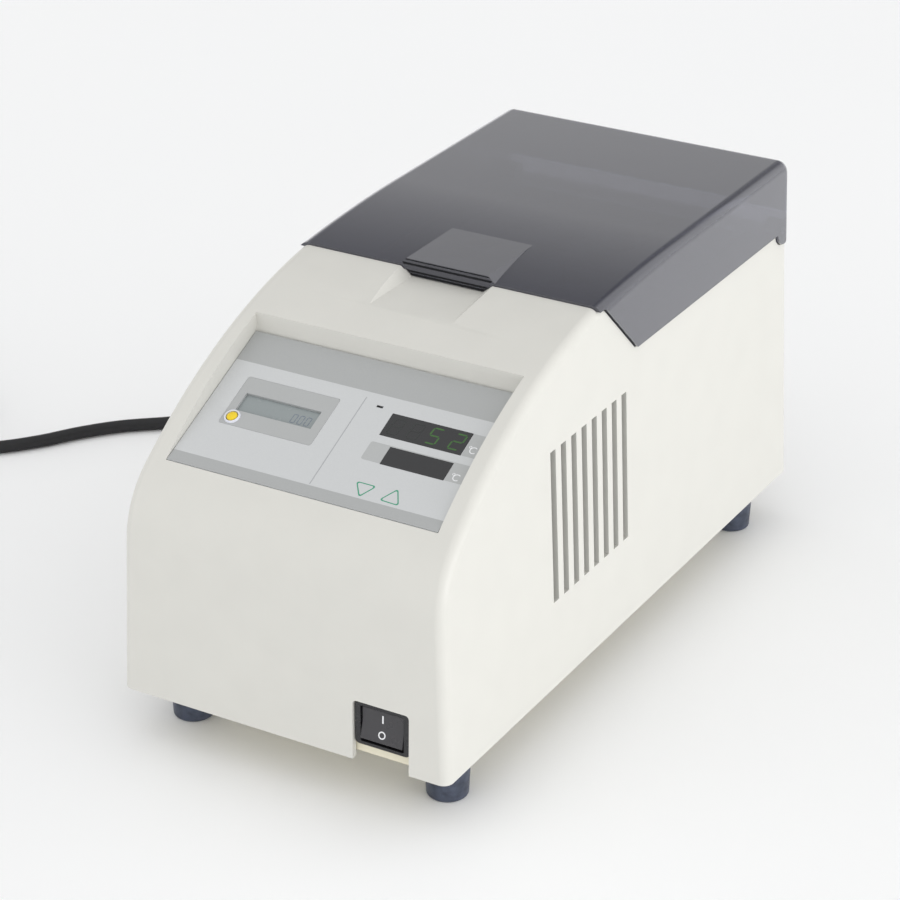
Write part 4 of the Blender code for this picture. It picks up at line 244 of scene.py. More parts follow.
# Mains cord, its routes in millimetres
CORD_DIAMETER = 7.1 * MM
CORD_RADIUS = CORD_DIAMETER / 2
CORD_ROUTE = (
    (-30.0, 208.9, 43.3), (-30.0, 217.5, 43.3), (-30.6, 232.0, 40.7), (-33.0, 248.5, 32.4),
    (-37.5, 263.5, 20.4), (-46.0, 277.0, 9.9), (-58.0, 286.5, 4.6), (-73.0, 291.0, 3.7), (-89.0, 290.0, 3.7),
    (-104.0, 282.5, 3.7), (-117.0, 270.0, 3.7), (-129.5, 254.0, 3.7), (-142.5, 235.0, 3.7),
    (-156.0, 215.7, 3.7), (-173.3, 191.4, 3.7), (-194.5, 166.1, 3.7), (-217.8, 140.7, 3.7),
    (-241.1, 117.5, 3.7), (-263.4, 98.7, 3.7), (-282.6, 82.5, 3.7), (-297.8, 64.3, 3.7),
    (-311.0, 44.0, 3.7), (-326.2, 26.3, 3.7), (-343.4, 14.0, 3.7), (-367.9, -1.0, 3.7),
)
TAIL_ROUTE = (
    (-456.6, 45.9, 10.6), (-456.6, 53.0, 9.8), (-456.6, 61.0, 8.5), (-456.6, 69.0, 7.5),
    (-456.6, 77.2, 7.0),
)
COIL_CENTRE = Vector(mm(-409.7, 27.2))
COIL_PITCH = 7.3 * MM        # from one turn's middle to the next, across and up
COIL_INNER = 28.4 * MM
COIL_FLOOR = 4.2 * MM        # height of the lowest turn's middle, over the tie
COIL_ENTRY = -55             # degrees round the coil, where the cord comes in
COIL_SWEEP = 900             # degrees that each of the two layers winds through
COIL_CLIMB = 125             # degrees from the lower layer up to the upper one
COIL_WINDING = 2 * COIL_SWEEP + COIL_CLIMB
COIL_TURNS = COIL_SWEEP / 360
COIL_STEP = 11.25
TIE_ANGLE = 250
TIE_THICKNESS = 0.45 * MM
TIE_WIDTH = 6 * MM
TIE_CORNERS = (2, 0, 5, 3)    # turns of the coil that the tie goes round

# Strain relief
RELIEF_INSIDE = 9 * MM
RELIEF_NECK = 6 * MM
RELIEF_FLANGE = 9 * MM
RELIEF_BODY = 7 * MM
RELIEF_TIP = 5 * MM
RELIEF_SLOTS = 8
RELIEF_SLOT_START = 6.5 * MM
RELIEF_SLOT_PITCH = 2.9 * MM
RELIEF_SLOT_WIDTH = 1.5 * MM
RELIEF_SLOT_REACH = 10 * MM
RELIEF_SLOT_FLOOR = 0.8 * MM

# Plug
PLUG_PLACE = Vector(mm(-456.6, 77.8, 7))
PLUG_LENGTH = 34 * MM
PLUG_FACE = mm(-12, -6.6, 12, 8)    # left, bottom, right and top of its widest section
PLUG_CORNER = 3.4 * MM
PLUG_SECTIONS = ((10, 0.62), (15, 0.86), (21, 1.0), (33, 1.0), (34, 0.94))    # distance in mm, share
GRIP_LENGTH = 12 * MM
GRIP_RIB = (mm(0, 0), mm(-0.6, 0.5), mm(-0.6, 1.2), mm(0.2, 1.7))    # (radius, distance) from a rib's start
GRIP_RIBS = (mm(4.6, 1.6), mm(5.05, 4.0), mm(5.5, 6.4), mm(5.95, 8.8))
BLADE_LENGTH = 16.9 * MM
BLADES = (("left", -6.35 * MM), ("right", 6.35 * MM))
EARTH_PIN = (mm(0, 18.5), mm(1.2, 18.4), mm(2.1, 17.2), mm(2.4, 15.5), mm(2.4, 0), mm(0, 0))
EARTH_PIN_DROP = 3.4 * MM

# Floor and light
FLOOR_REACH = 6.0
# Sine of the elevation, brightness: the sky behind the object, as the lid mirrors it
SKY_BEHIND = ((0.2, 1.1), (0.3, 0.73), (0.37, 0.6), (0.46, 0.43), (0.56, 0.22), (0.66, 0.16), (0.8, 0.9))
SKY_ELSEWHERE = ((0.0, 1.2), (0.95, 0.95))
SKY_BEHIND_WIDTH = ((0.55, 0), (0.68, 1))    # cosine of the angle from straight behind, share
RIGHT_BOX_PLACE = Vector((2.4, -0.3, 0.3))
RIGHT_BOX_AIM = Vector((0, 0, 0.1))
RIGHT_BOX_SIZE = (1.6, 0.5)
RIGHT_BOX_POWER = 16

# Camera, read from the photograph's edges
CAMERA_PLACE = (0.64866, -1.15637, 0.74847)
CAMERA_AZIMUTH = math.radians(29.89)
CAMERA_ELEVATION = math.radians(26.29)
CAMERA_ROLL = math.radians(0.05)
CAMERA_FOCAL_PIXELS = 2960.9
PICTURE_WIDTH_PIXELS = 900
SENSOR_WIDTH_MM = 36.0

# Turns that lay a shape's own Z along -Y, +Y and +X
TO_FRONT = Matrix.Rotation(math.pi / 2, 4, "X")
TO_REAR = Matrix.Rotation(-math.pi / 2, 4, "X")
TO_SIDE = Matrix(((0, 0, 1, 0), (1, 0, 0, 0), (0, 1, 0, 0), (0, 0, 0, 1)))


def add_object(name, data, matrix=None):
    item = bpy.data.objects.new(name, data)
    bpy.context.scene.collection.objects.link(item)
    if matrix:
        item.matrix_world = matrix
    return item


def make_camera():
    data = bpy.data.cameras.new("camera")
    data.sensor_fit = "HORIZONTAL"
    data.sensor_width = SENSOR_WIDTH_MM
    data.lens = CAMERA_FOCAL_PIXELS / PICTURE_WIDTH_PIXELS * SENSOR_WIDTH_MM
    turn = (Matrix.Rotation(CAMERA_AZIMUTH, 4, "Z") @ Matrix.Rotation(math.pi / 2 - CAMERA_ELEVATION, 4, "X")
            @ Matrix.Rotation(CAMERA_ROLL, 4, "Z"))
    bpy.context.scene.camera = add_object("camera", data, Matrix.Translation(CAMERA_PLACE) @ turn)


# Materials


def srgb(red, green, blue):
    """A colour given as on a screen, 0 to 255, in the linear values that a shader takes."""
    return tuple(((c / 255 + 0.055) / 1.055) ** 2.4 if c > 10 else c / 255 / 12.92
                 for c in (red, green, blue))


def feed(tree, node, **values):
    """Set a node's inputs, or link them where the value is another node's output."""
    for name, value in values.items():
        socket = node.inputs[name.replace("_", " ")]
        if isinstance(value, bpy.types.NodeSocket):
            tree.links.new(value, socket)
        else:
            socket.default_value = value
    return node


def colour_ramp(tree, value, stops):
    """A ramp over value, from stops of (position, colour)."""
    ramp = feed(tree, tree.nodes.new("ShaderNodeValToRGB"), Fac=value)
    elements = ramp.color_ramp.elements
    elements[0].position, elements[1].position = stops[0][0], stops[-1][0]
    for position, _ in stops[1:-1]:
        elements.new(position)
    for element, (_, colour) in zip(elements, stops):
        element.color = (*colour, 1)
    return ramp.outputs["Color"]


def noise(tree, size, detail, stretch):
    """A noise texture of this feature size in millimetres, in the object's own coordinates."""
    place = tree.nodes.new("ShaderNodeTexCoord").outputs["Object"]
    mapping = feed(tree, tree.nodes.new("ShaderNodeMapping"), Vector=place, Scale=stretch)
    texture = feed(tree, tree.nodes.new("ShaderNodeTexNoise"), Vector=mapping.outputs["Vector"],
                   Scale=1 / (size * MM), Detail=detail)
    return texture.outputs["Fac"]


def surface(name, colour, roughness, grain=None, mottle=None, sheen=None, stretch=(1, 1, 1), **sockets):
    """A Principled material, its marks drawn out where stretch is small.

    Grain is relief of (size, depth) in millimetres. Mottle is (size, share) by which the colour gets
    darker and lighter, and sheen is (size, change) of roughness.
    """
    material = bpy.data.materials.new(name)
    material["slot"] = name
    material.diffuse_color = (*colour, 1)
    material.use_nodes = True
    tree = material.node_tree
    shader = tree.nodes["Principled BSDF"]
    feed(tree, shader, Base_Color=(*colour, 1), Roughness=roughness, **sockets)
    if grain:
        bump = feed(tree, tree.nodes.new("ShaderNodeBump"), Strength=1.0, Distance=grain[1] * MM,
                    Height=noise(tree, grain[0], 3, stretch))
        feed(tree, shader, Normal=bump.outputs["Normal"])
    if mottle:
        stops = [(position, [min(c * share, 1) for c in colour])
                 for position, share in ((0.3, 1 - mottle[1]), (0.7, 1 + mottle[1]))]
        feed(tree, shader, Base_Color=colour_ramp(tree, noise(tree, mottle[0], 4, stretch), stops))
    if sheen:
        change = feed(tree, tree.nodes.new("ShaderNodeMapRange"), Value=noise(tree, sheen[0], 3, stretch),
                      From_Min=0.3, From_Max=0.7, To_Min=max(roughness - sheen[1], 0.02),
                      To_Max=min(roughness + sheen[1], 1.0))
        feed(tree, shader, Roughness=change.outputs["Result"])
    return material


def moulded(name, colour, roughness, depth=0.012, mottle=0.012, **sockets):
    """Moulded plastic: fine spark-eroded grain, faint flow mottling and uneven gloss."""
    return surface(name, colour, roughness, (0.35, depth), (18, mottle), (9, 0.05), **sockets)


def rubbery(name, colour, roughness, mottle=0.12):
    return surface(name, colour, roughness, (0.6, 0.03), (4, mottle), (3, 0.08), Specular_IOR_Level=0.35)


def metal(name, colour, roughness, grain, stretch=(1, 1, 1)):
    return surface(name, colour, roughness, (grain, 0.006), (3, 0.06), (2, 0.06), stretch, Metallic=1.0)


def printed(name, colour, roughness=0.38):
    """Ink under or on a matt film."""
    return surface(name, colour, roughness, (0.25, 0.004), (0.8, 0.015), (5, 0.04))


def glowing(name, colour, strength):
    """A lit display segment, or a glowing strip that paints a highlight along an edge, a little uneven along
    its length.
    """
    return surface(name, colour, 0.4, mottle=(1.5, 0.15), Emission_Color=(*colour, 1.0),
                   Emission_Strength=strength)


def circuit_board(name, colour):
    """Solder resist over tracks, seen as straight bands of two shades."""
    material = surface(name, colour, 0.35, (0.6, 0.01), Coat_Weight=0.4, Coat_Roughness=0.15)
    tree = material.node_tree
    shades = [(*(min(c * share, 1) for c in colour), 1) for share in (1, 0.85, 1.5)]
    tracks = feed(tree, tree.nodes.new("ShaderNodeTexBrick"), Scale=120, Mortar_Size=0.06, Color1=shades[0],
                  Color2=shades[1], Mortar=shades[2],
                  Vector=tree.nodes.new("ShaderNodeTexCoord").outputs["Object"])
    feed(tree, tree.nodes["Principled BSDF"], Base_Color=tracks.outputs["Color"])
    return material


IVORY = moulded("ivory_plastic", srgb(213, 212, 206), 0.42)
SMOKED = surface("smoked_acrylic", srgb(93, 94, 108), 0.02, (25, 0.05), sheen=(12, 0.01),
                 Transmission_Weight=0.6, IOR=1.49, Coat_Weight=1.0, Coat_IOR=1.5, Coat_Roughness=0.02)
# Dark cut edge of the smoked acrylic, also laid on the tab's lip as painted shade of the hollow under it
SMOKED_EDGE_AND_SHADE = moulded("smoked_edge_and_shade", srgb(22, 23, 27), 0.35, Specular_IOR_Level=0.2)
# Painted highlight: a glowing pale strip for the light caught on the lid's inner edges
PAINTED_HIGHLIGHT = glowing("painted_highlight", srgb(196, 200, 210), 1.6)
CREAM_STEEL = surface("cream_painted_steel", srgb(228, 222, 200), 0.4, (1.2, 0.02), (15, 0.015), (6, 0.05),
                      Coat_Weight=0.15, Coat_Roughness=0.2)
FOOT_RUBBER = rubbery("blue_grey_rubber", srgb(66, 72, 87), 0.45, 0.34)
BLACK_PLASTIC = moulded("black_plastic", srgb(36, 36, 39), 0.35, mottle=0.05)
SWITCH_BLACK = moulded("switch_black", srgb(34, 34, 37), 0.28, 0.006, 0.04)
# Rocker black, lighter than the bezel's as a painted reflection of the floor on its gloss
ROCKER_BLACK_AND_REFLECTION = moulded("rocker_black_and_reflection", srgb(60, 59, 62), 0.3, 0.006, 0.04)
FILM = printed("grey_panel_film", srgb(200, 202, 203))
FILM_BAND = printed("grey_band", srgb(169, 171, 171))
FILM_GREY = printed("grey_print", srgb(177, 179, 179))
FILM_LINE = printed("line_print", srgb(168, 170, 172))
FILM_GREEN = printed("green_print", srgb(60, 150, 118))
FILM_WHITE = printed("white_print", srgb(235, 236, 238))
TIMER_GREY = moulded("timer_grey_plastic", srgb(174, 176, 176), 0.4)
# Liquid crystal grey, darkened all over as painted shade of its deep recess
LCD = printed("lcd_glass", srgb(142, 149, 150), 0.25)
LCD_INK = printed("lcd_ink", srgb(112, 121, 134), 0.25)
YELLOW = moulded("yellow_button", srgb(238, 206, 30), 0.3, 0.004)
CLEAR_RING = moulded("clear_ring", srgb(224, 226, 236), 0.2, 0.004)
LENS = surface("dark_lens", srgb(24, 25, 28), 0.12, sheen=(4, 0.03), Coat_Weight=0.2, Coat_Roughness=0.08)
SEGMENT_LIT = glowing("green_segment", srgb(52, 92, 40), 0.12)
SEGMENT_DARK = printed("dark_segment", srgb(38, 41, 41), 0.3)
ALUMINIUM = metal("aluminium", srgb(208, 210, 212), 0.32, 0.5, (1, 0.1, 1))
STEEL = metal("zinc_plated_steel", srgb(192, 194, 196), 0.3, 1.5)
BOARD_GREEN = circuit_board("green_board", srgb(30, 96, 50))
FOAM = surface("insulation_felt", srgb(206, 198, 176), 0.95, (0.8, 0.25), (3, 0.12), Sheen_Weight=0.2)
SILICONE = rubbery("heater_silicone", srgb(170, 78, 45), 0.75)
COIL_TAPE = moulded("coil_tape", srgb(196, 160, 60), 0.45, 0.02, 0.06)
CORD_BLACK = rubbery("cord_black", srgb(30, 30, 32), 0.42)


# Mesh tools


def add_mesh(bm, name, matrix=None):
    """An object with the mesh that was built in bm."""
    bmesh.ops.recalc_face_normals(bm, faces=bm.faces)
    mesh = bpy.data.meshes.new(name)
    bm.to_mesh(mesh)
    bm.free()
    return add_object(name, mesh, matrix)


def apply_modifiers(item):
    bpy.context.view_layer.update()
    graph = bpy.context.evaluated_depsgraph_get()
    mesh = bpy.data.meshes.new_from_object(item.evaluated_get(graph), depsgraph=graph)
    item.modifiers.clear()
    item.data = mesh
    return item


def combine(target, operation, *tools):
    """Cut the tools out of the target or join them to it, and take the tools away."""
    for tool in tools:
        modifier = target.modifiers.new(operation, "BOOLEAN")
        modifier.operation = operation
        modifier.solver = "EXACT"
        modifier.object = tool
    apply_modifiers(target)
    for tool in tools:
        bpy.data.objects.remove(tool, do_unlink=True)
    return target


def cut(target, *tools):
    return combine(target, "DIFFERENCE", *tools)


def join(target, *tools):
    return combine(target, "UNION", *tools)


def soften(item, width, segments=2, angle=40):
    """Round the sharp edges by a small bevel."""
    bm = bmesh.new()
    bm.from_mesh(item.data)
    bmesh.ops.remove_doubles(bm, verts=bm.verts, dist=0.002 * MM)
    bmesh.ops.dissolve_degenerate(bm, edges=bm.edges, dist=0.002 * MM)
    bm.to_mesh(item.data)
    bm.free()
    bevel = item.modifiers.new("soft_edges", "BEVEL")
    bevel.width = width
    bevel.segments = segments
    bevel.limit_method = "ANGLE"
    bevel.angle_limit = math.radians(angle)
    bevel.harden_normals = False
    bevel.miter_outer = "MITER_ARC"
    return apply_modifiers(item)


def settle(item, material, *nodes, body="case", slot=None, weighted=True):
    """Finish a piece: its material, smooth shading, the body it rides on and what it stands for."""
    item.data.materials.clear()
    item.data.materials.append(material)
    item.data.shade_smooth()
    item.data.set_sharp_from_angle(angle=math.radians(30))
    if weighted:
        item.modifiers.new("even_normals", "WEIGHTED_NORMAL").keep_sharp = True
    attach(item, body)
    if nodes:
        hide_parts(*nodes)
    return item


def draw_out(bm, points, along):
    """A face on these points, drawn out along a vector."""
    face = bm.faces.new([bm.verts.new(point) for point in points])
    grown = bmesh.ops.extrude_face_region(bm, geom=[face])["geom"]
    bmesh.ops.translate(bm, vec=along, verts=[g for g in grown if isinstance(g, bmesh.types.BMVert)])


def bridge(bm, loops):
    """Faces from each loop of vertices to the next."""
    for first, second in zip(loops, loops[1:]):
        for i in range(len(first)):
            bm.faces.new((first[i - 1], first[i], second[i], second[i - 1]))


def box(name, low, high, matrix=None):
    bm = bmesh.new()
    bmesh.ops.create_cube(bm, size=1.0)
    low, high = Vector(low), Vector(high)
    bmesh.ops.scale(bm, vec=high - low, verts=bm.verts)
    bmesh.ops.translate(bm, vec=(high + low) / 2, verts=bm.verts)
    return add_mesh(bm, name, matrix)


def wedge(name, place):
    """A box whose eight corners are moved: place takes the signs of a corner and gives its point."""
    bm = bmesh.new()
    bmesh.ops.create_cube(bm, size=2.0)
    for vertex in bm.verts:
        vertex.co = Vector(place(*(1 if c > 0 else -1 for c in vertex.co)))
    return add_mesh(bm, name)


def cylinder(name, radius, base, axis, length, segments=32, matrix=None):
    bm = bmesh.new()
    bmesh.ops.create_cone(bm, cap_ends=True, segments=segments, radius1=radius, radius2=radius, depth=length)
    bmesh.ops.translate(bm, vec=(0, 0, length / 2), verts=bm.verts)
    turn = Vector((0, 0, 1)).rotation_difference(Vector(axis)).to_matrix().to_4x4()
    bmesh.ops.transform(bm, matrix=Matrix.Translation(Vector(base)) @ turn, verts=bm.verts)
    return add_mesh(bm, name, matrix)


def turned(name, profile, matrix, segments=48):
    """A profile of (radius, height) turned round the matrix's own Z axis."""
    bm = bmesh.new()
    line = [bm.verts.new((radius, 0, height)) for radius, height in profile]
    edges = [bm.edges.new(pair) for pair in zip(line, line[1:])]
    bmesh.ops.spin(bm, geom=line + edges, cent=(0, 0, 0), axis=(0, 0, 1), angle=math.tau,
                   steps=segments, use_merge=False)
    bmesh.ops.remove_doubles(bm, verts=bm.verts, dist=0.005 * MM)
    return add_mesh(bm, name, matrix)


def prism(name, points, low, high, matrix=None):
    """An outline in its own plane, carried from low to high along its normal."""
    bm = bmesh.new()
    draw_out(bm, [(x, y, low) for x, y in points], (0, 0, high - low))
    return add_mesh(bm, name, matrix)


def side_prism(name, points, low_x, high_x, matrix=Matrix()):
    """An outline in (y, z) carried across from low_x to high_x."""
    return prism(name, points, low_x, high_x, matrix @ TO_SIDE)


def upright_prism(name, points, near_y, far_y):
    """An outline in (x, z) carried back from near_y to far_y."""
    return prism(name, points, -far_y, -near_y, TO_FRONT)


def band(name, outer, inner, low, high, matrix):
    """A closed band between two outlines with as many points, from low to high."""
    bm = bmesh.new()
    loops = [[bm.verts.new((x, y, z)) for x, y in points]
             for points, z in ((outer, low), (outer, high), (inner, high), (inner, low))]
    bridge(bm, loops + loops[:1])
    return add_mesh(bm, name, matrix)


def arc(centre, radius, start, end, steps):
    """Points on an arc from one angle to another, both ends included."""
    angles = [start + (end - start) * i / steps for i in range(steps + 1)]
    return [(centre[0] + radius * math.cos(a), centre[1] + radius * math.sin(a)) for a in angles]


def circle(centre, radius, steps):
    return arc(centre, radius, 0, math.tau, steps)[:-1]


def rounded_outline(corners, radius, steps=5):
    """A convex outline, listed anticlockwise, with its corners rounded."""
    points = []
    for i, corner in enumerate(corners):
        here = Vector(corner)
        before = (Vector(corners[i - 1]) - here).normalized()
        after = (Vector(corners[(i + 1) % len(corners)]) - here).normalized()
        half = before.angle(after) / 2
        centre = here + (before + after).normalized() * radius / math.sin(half)
        first = here + before * radius / math.tan(half) - centre
        start = math.atan2(first.y, first.x)
        points += arc(centre, radius, start, start + math.pi - 2 * half, steps)
    return points


def rectangle(place, size, grow=0.0):
    """The corners of a rectangle round its middle, anticlockwise."""
    x, y = size[0] / 2 + grow, size[1] / 2 + grow
    return [(place[0] + side * x, place[1] + up * y) for side, up in ((-1, -1), (1, -1), (1, 1), (-1, 1))]


def crossing(point_a, direction_a, point_b, direction_b):
    """Where two straight lines in a plane cross."""
    det = direction_b[0] * direction_a[1] - direction_a[0] * direction_b[1]
    dx = point_b[0] - point_a[0]
    dy = point_b[1] - point_a[1]
    t = (direction_b[0] * dy - dx * direction_b[1]) / det
    return (point_a[0] + t * direction_a[0], point_a[1] + t * direction_a[1])


def span(side, near, far):
    """The x from near to far on one side, low first."""
    return sorted((side * near, side * far))


def half_width(height):
    """Half the case's width at this height."""
    return CASE_WIDTH / 2 - SIDE_DRAFT * (height - COVER_BOTTOM)


def rear_y(height, inset=0.0):
    return from_front(CASE_DEPTH - REAR_DRAFT * (height - COVER_BOTTOM) - inset)


def drafted_body(name, points, grow, rounded):
    """A side outline as wide as the case plus grow, with the case's draft and rounded side edges."""
    bm = bmesh.new()
    draw_out(bm, [(-1, y, z) for y, z in points], (2, 0, 0))
    bmesh.ops.recalc_face_normals(bm, faces=bm.faces)
    for vertex in bm.verts:
        vertex.co.x *= half_width(vertex.co.z) + grow
    for test, radius, segments in rounded:
        edges = []
        for edge in bm.edges:
            first, second = (v.co for v in edge.verts)
            if first.x * second.x > 0 and test((first + second) / 2) and len(edge.link_faces) == 2:
                if edge.calc_face_angle() > math.radians(60):
                    edges.append(edge)
        bmesh.ops.bevel(bm, geom=edges, offset=radius, segments=segments, profile=0.5, affect="EDGES",
                        clamp_overlap=False)
    return add_mesh(bm, name)


# Mains cord


def coil_seat(turned_by):
    """Columns out and levels up after this many degrees of winding: in below, up, and out again."""
    if turned_by < COIL_SWEEP:
        return (COIL_TURNS * (1 - turned_by / COIL_SWEEP), 0)
    if turned_by > COIL_SWEEP + COIL_CLIMB:
        return (COIL_TURNS * (turned_by - COIL_SWEEP - COIL_CLIMB) / COIL_SWEEP, 1)
    share = (turned_by - COIL_SWEEP) / COIL_CLIMB
    return (0, share * share * (3 - 2 * share))


def coil_section(turned_by):
    """The cord's middle after this winding, as its distance from the coil's middle and its height."""
    column, level = coil_seat(turned_by)
    return Vector((COIL_INNER + COIL_PITCH * column, COIL_FLOOR + COIL_PITCH * level))


def cord_coil():
    """The coil's centre points, wound clockwise as a flat spiral of two layers."""
    points = []
    count = round(COIL_WINDING / COIL_STEP)
    for i in range(count + 1):
        radius, height = coil_section(COIL_WINDING * i / count)
        angle = math.radians(COIL_ENTRY - COIL_WINDING * i / count)
        points.append(Vector((COIL_CENTRE.x + radius * math.cos(angle),
                              COIL_CENTRE.y + radius * math.sin(angle), height)))
    return points


def smooth_path(points, step):
    """Points about a step apart on one smooth curve through the given points."""
    fine = [points[0]]
    for i, (here, there) in enumerate(zip(points, points[1:])):
        lead = here + (there - points[max(i - 1, 0)]) / 6
        tail = there - (points[min(i + 2, len(points) - 1)] - here) / 6
        fine += interpolate_bezier(here, lead, tail, there, 12)[1:]
    lengths = [0.0]
    for first, second in zip(fine, fine[1:]):
        lengths.append(lengths[-1] + (second - first).length)
    count = round(lengths[-1] / step)
    result = []
    k = 0
    for i in range(count + 1):
        target = lengths[-1] * i / count
        while k < len(lengths) - 2 and lengths[k + 1] < target:
            k += 1
        share = (target - lengths[k]) / (lengths[k + 1] - lengths[k])
        result.append(fine[k].lerp(fine[k + 1], min(max(share, 0), 1)))
    return result


def make_cord():
    """The mains cord, from its relief along the bench to the coil and the plug."""
    knots = [Vector(point) * MM for point in CORD_ROUTE] + cord_coil()
    knots += [Vector(point) * MM for point in TAIL_ROUTE]
    path = smooth_path(knots, CORD_RADIUS)
    curve = bpy.data.curves.new("mains_lead", "CURVE")
    curve.dimensions = "3D"
    curve.bevel_depth = CORD_RADIUS
    curve.bevel_resolution = 4
    curve.use_fill_caps = True
    spline = curve.splines.new("POLY")
    spline.points.add(len(path) - 1)
    for point, place in zip(spline.points, path):
        point.co = (*place, 1)
    spline.use_smooth = True
    curve.materials.append(CORD_BLACK)
    lead = add_object("mains_lead", curve)
    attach(lead, "case")
    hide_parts("mains_cord", "cord_coil", "cord_tail")
    return lead


def make_tie():
    """The strap that holds the coil's turns together."""
    to_tie = (COIL_ENTRY - TIE_ANGLE) % 360
    centres = [coil_section(to_tie + 360 * turn) for turn in TIE_CORNERS]
    inner_radius = CORD_RADIUS + 0.05 * MM
    loops = []
    for radius in (inner_radius + TIE_THICKNESS, inner_radius):
        points = []
        for i, centre in enumerate(centres):
            inward = centre - centres[i - 1]
            outward = centres[(i + 1) % len(centres)] - centre
            start = math.atan2(inward.y, inward.x) - math.pi / 2
            end = math.atan2(outward.y, outward.x) - math.pi / 2
            points += arc(centre, radius, start, start + (end - start) % math.tau, 8)
        loops.append(points)
    turn = Matrix.Translation((*COIL_CENTRE, 0)) @ Matrix.Rotation(math.radians(TIE_ANGLE), 4, "Z")
    tie = band("cord_tie", *loops, -TIE_WIDTH / 2, TIE_WIDTH / 2, turn @ TO_FRONT)
    return settle(tie, FOOT_RUBBER, slot="black_cord")


def make_relief():
    """The ribbed strain relief where the cord leaves the rear."""
    low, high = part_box("strain_relief")
    middle = Vector(((low.x + high.x) / 2, low.y, (low.z + high.z) / 2))
    length = high.y - low.y
    face = RELIEF_INSIDE + SEAT_GAP
    bore = CORD_RADIUS + FIT_GAP
    socket = length - 6 * MM
    profile = [(0, 0), (RELIEF_NECK, 0), (RELIEF_NECK, face), (RELIEF_FLANGE, face),
               (RELIEF_FLANGE, face + 1.8 * MM), (RELIEF_FLANGE - 0.6 * MM, face + 2.4 * MM),
               (RELIEF_BODY + 0.8 * MM, face + 2.4 * MM), (RELIEF_BODY, face + 3.4 * MM),
               (RELIEF_TIP, length - 0.8 * MM), (RELIEF_TIP - 0.6 * MM, length),
               (bore, length), (bore, socket), (0, socket)]
    relief = turned("cord_relief", profile, Matrix.Translation(middle) @ TO_REAR)
    slots = []
    for i in range(RELIEF_SLOTS):
        y = middle.y + RELIEF_INSIDE + RELIEF_SLOT_START + i * RELIEF_SLOT_PITCH
        near, far = span(1 if i % 2 else -1, bore + RELIEF_SLOT_FLOOR, RELIEF_SLOT_REACH)
        slots.append(box("slot", (middle.x - RELIEF_SLOT_REACH, y, middle.z + near),
                         (middle.x + RELIEF_SLOT_REACH, y + RELIEF_SLOT_WIDTH, middle.z + far)))
    cut(relief, *slots)
    return settle(soften(relief, 0.2 * MM), BLACK_PLASTIC, "strain_relief")


def make_plug():
    """The moulded plug: ribbed grip, waisted body, two blades and the earth pin."""
    grip = [mm(0, 0), mm(4, 0), mm(4.6, 0.6)]
    grip += [(radius + out, start + along) for radius, start in GRIP_RIBS for out, along in GRIP_RIB]
    grip += [(6.4 * MM, GRIP_LENGTH), (0, GRIP_LENGTH)]
    plug = turned("plug_body", grip, Matrix.Translation(PLUG_PLACE) @ TO_REAR)
    left, bottom, right, top = PLUG_FACE
    bm = bmesh.new()
    loops = []
    for distance, share in PLUG_SECTIONS:
        corners = [(x * share, z * share)
                   for x, z in ((left, bottom), (right, bottom), (right, top), (left, top))]
        outline = rounded_outline(corners, PLUG_CORNER * share)
        loops.append([bm.verts.new((x, distance * MM, z)) for x, z in outline])
    bridge(bm, loops)
    bm.faces.new(loops[0])
    bm.faces.new(loops[-1])
    join(plug, add_mesh(bm, "plug_shell", Matrix.Translation(PLUG_PLACE)))
    pieces = [settle(soften(plug, 0.25 * MM), BLACK_PLASTIC, "plug")]
    tip = PLUG_PLACE + Vector((0, PLUG_LENGTH + 0.05 * MM, 0))
    for name, across in BLADES:
        low = tip + Vector((across - 0.75 * MM, 0, -1.5 * MM))
        high = tip + Vector((across + 0.75 * MM, BLADE_LENGTH, 4.8 * MM))
        pieces.append(settle(soften(box(f"plug_blade_{name}", low, high), 0.4 * MM), STEEL))
    pin_place = Matrix.Translation(tip - Vector((0, 0, EARTH_PIN_DROP)))
    pieces.append(settle(turned("plug_earth_pin", EARTH_PIN, pin_place @ TO_REAR), STEEL))
    return pieces


# Case


def blend_centre():
    """The centre of the arc that joins the upright front to the slope."""
    norm = math.hypot(1, FRONT_DRAFT)
    start = (from_front(0) + FRONT_BLEND_RADIUS / norm,
             COVER_BOTTOM - FRONT_DRAFT * FRONT_BLEND_RADIUS / norm)
    along = (FRONT_DRAFT / norm, 1 / norm)
    dx = start[0] - SLOPE_CENTRE[0]
    dz = start[1] - SLOPE_CENTRE[1]
    b = dx * along[0] + dz * along[1]
    c = dx * dx + dz * dz - (SLOPE_RADIUS - FRONT_BLEND_RADIUS) ** 2
    t = -b + math.sqrt(b * b - c)
    return (start[0] + t * along[0], start[1] + t * along[1])


BLEND_CENTRE = blend_centre()
SLOPE_START_ANGLE = math.atan2(BLEND_CENTRE[1] - SLOPE_CENTRE[1], BLEND_CENTRE[0] - SLOPE_CENTRE[0])
EAR_POCKET_X = half_width(HINGE_HEIGHT) + LID_PROUD - LID_WALL - EAR_GAP


def front_and_slope(inset, bottom, end_y, blend_steps=16, slope_steps=40):
    """The outline from the bottom front edge, up the front and along the slope to end_y."""
    first = from_front(0) + FRONT_DRAFT * (bottom - COVER_BOTTOM) + inset * math.hypot(1, FRONT_DRAFT)
    points = [(first, bottom)]
    points += arc(BLEND_CENTRE, FRONT_BLEND_RADIUS - inset, math.pi - math.atan(FRONT_DRAFT),
                  SLOPE_START_ANGLE, blend_steps)
    radius = SLOPE_RADIUS - inset
    end = math.acos((end_y - SLOPE_CENTRE[0]) / radius)
    points += arc(SLOPE_CENTRE, radius, SLOPE_START_ANGLE, end, slope_steps)[1:]
    return points


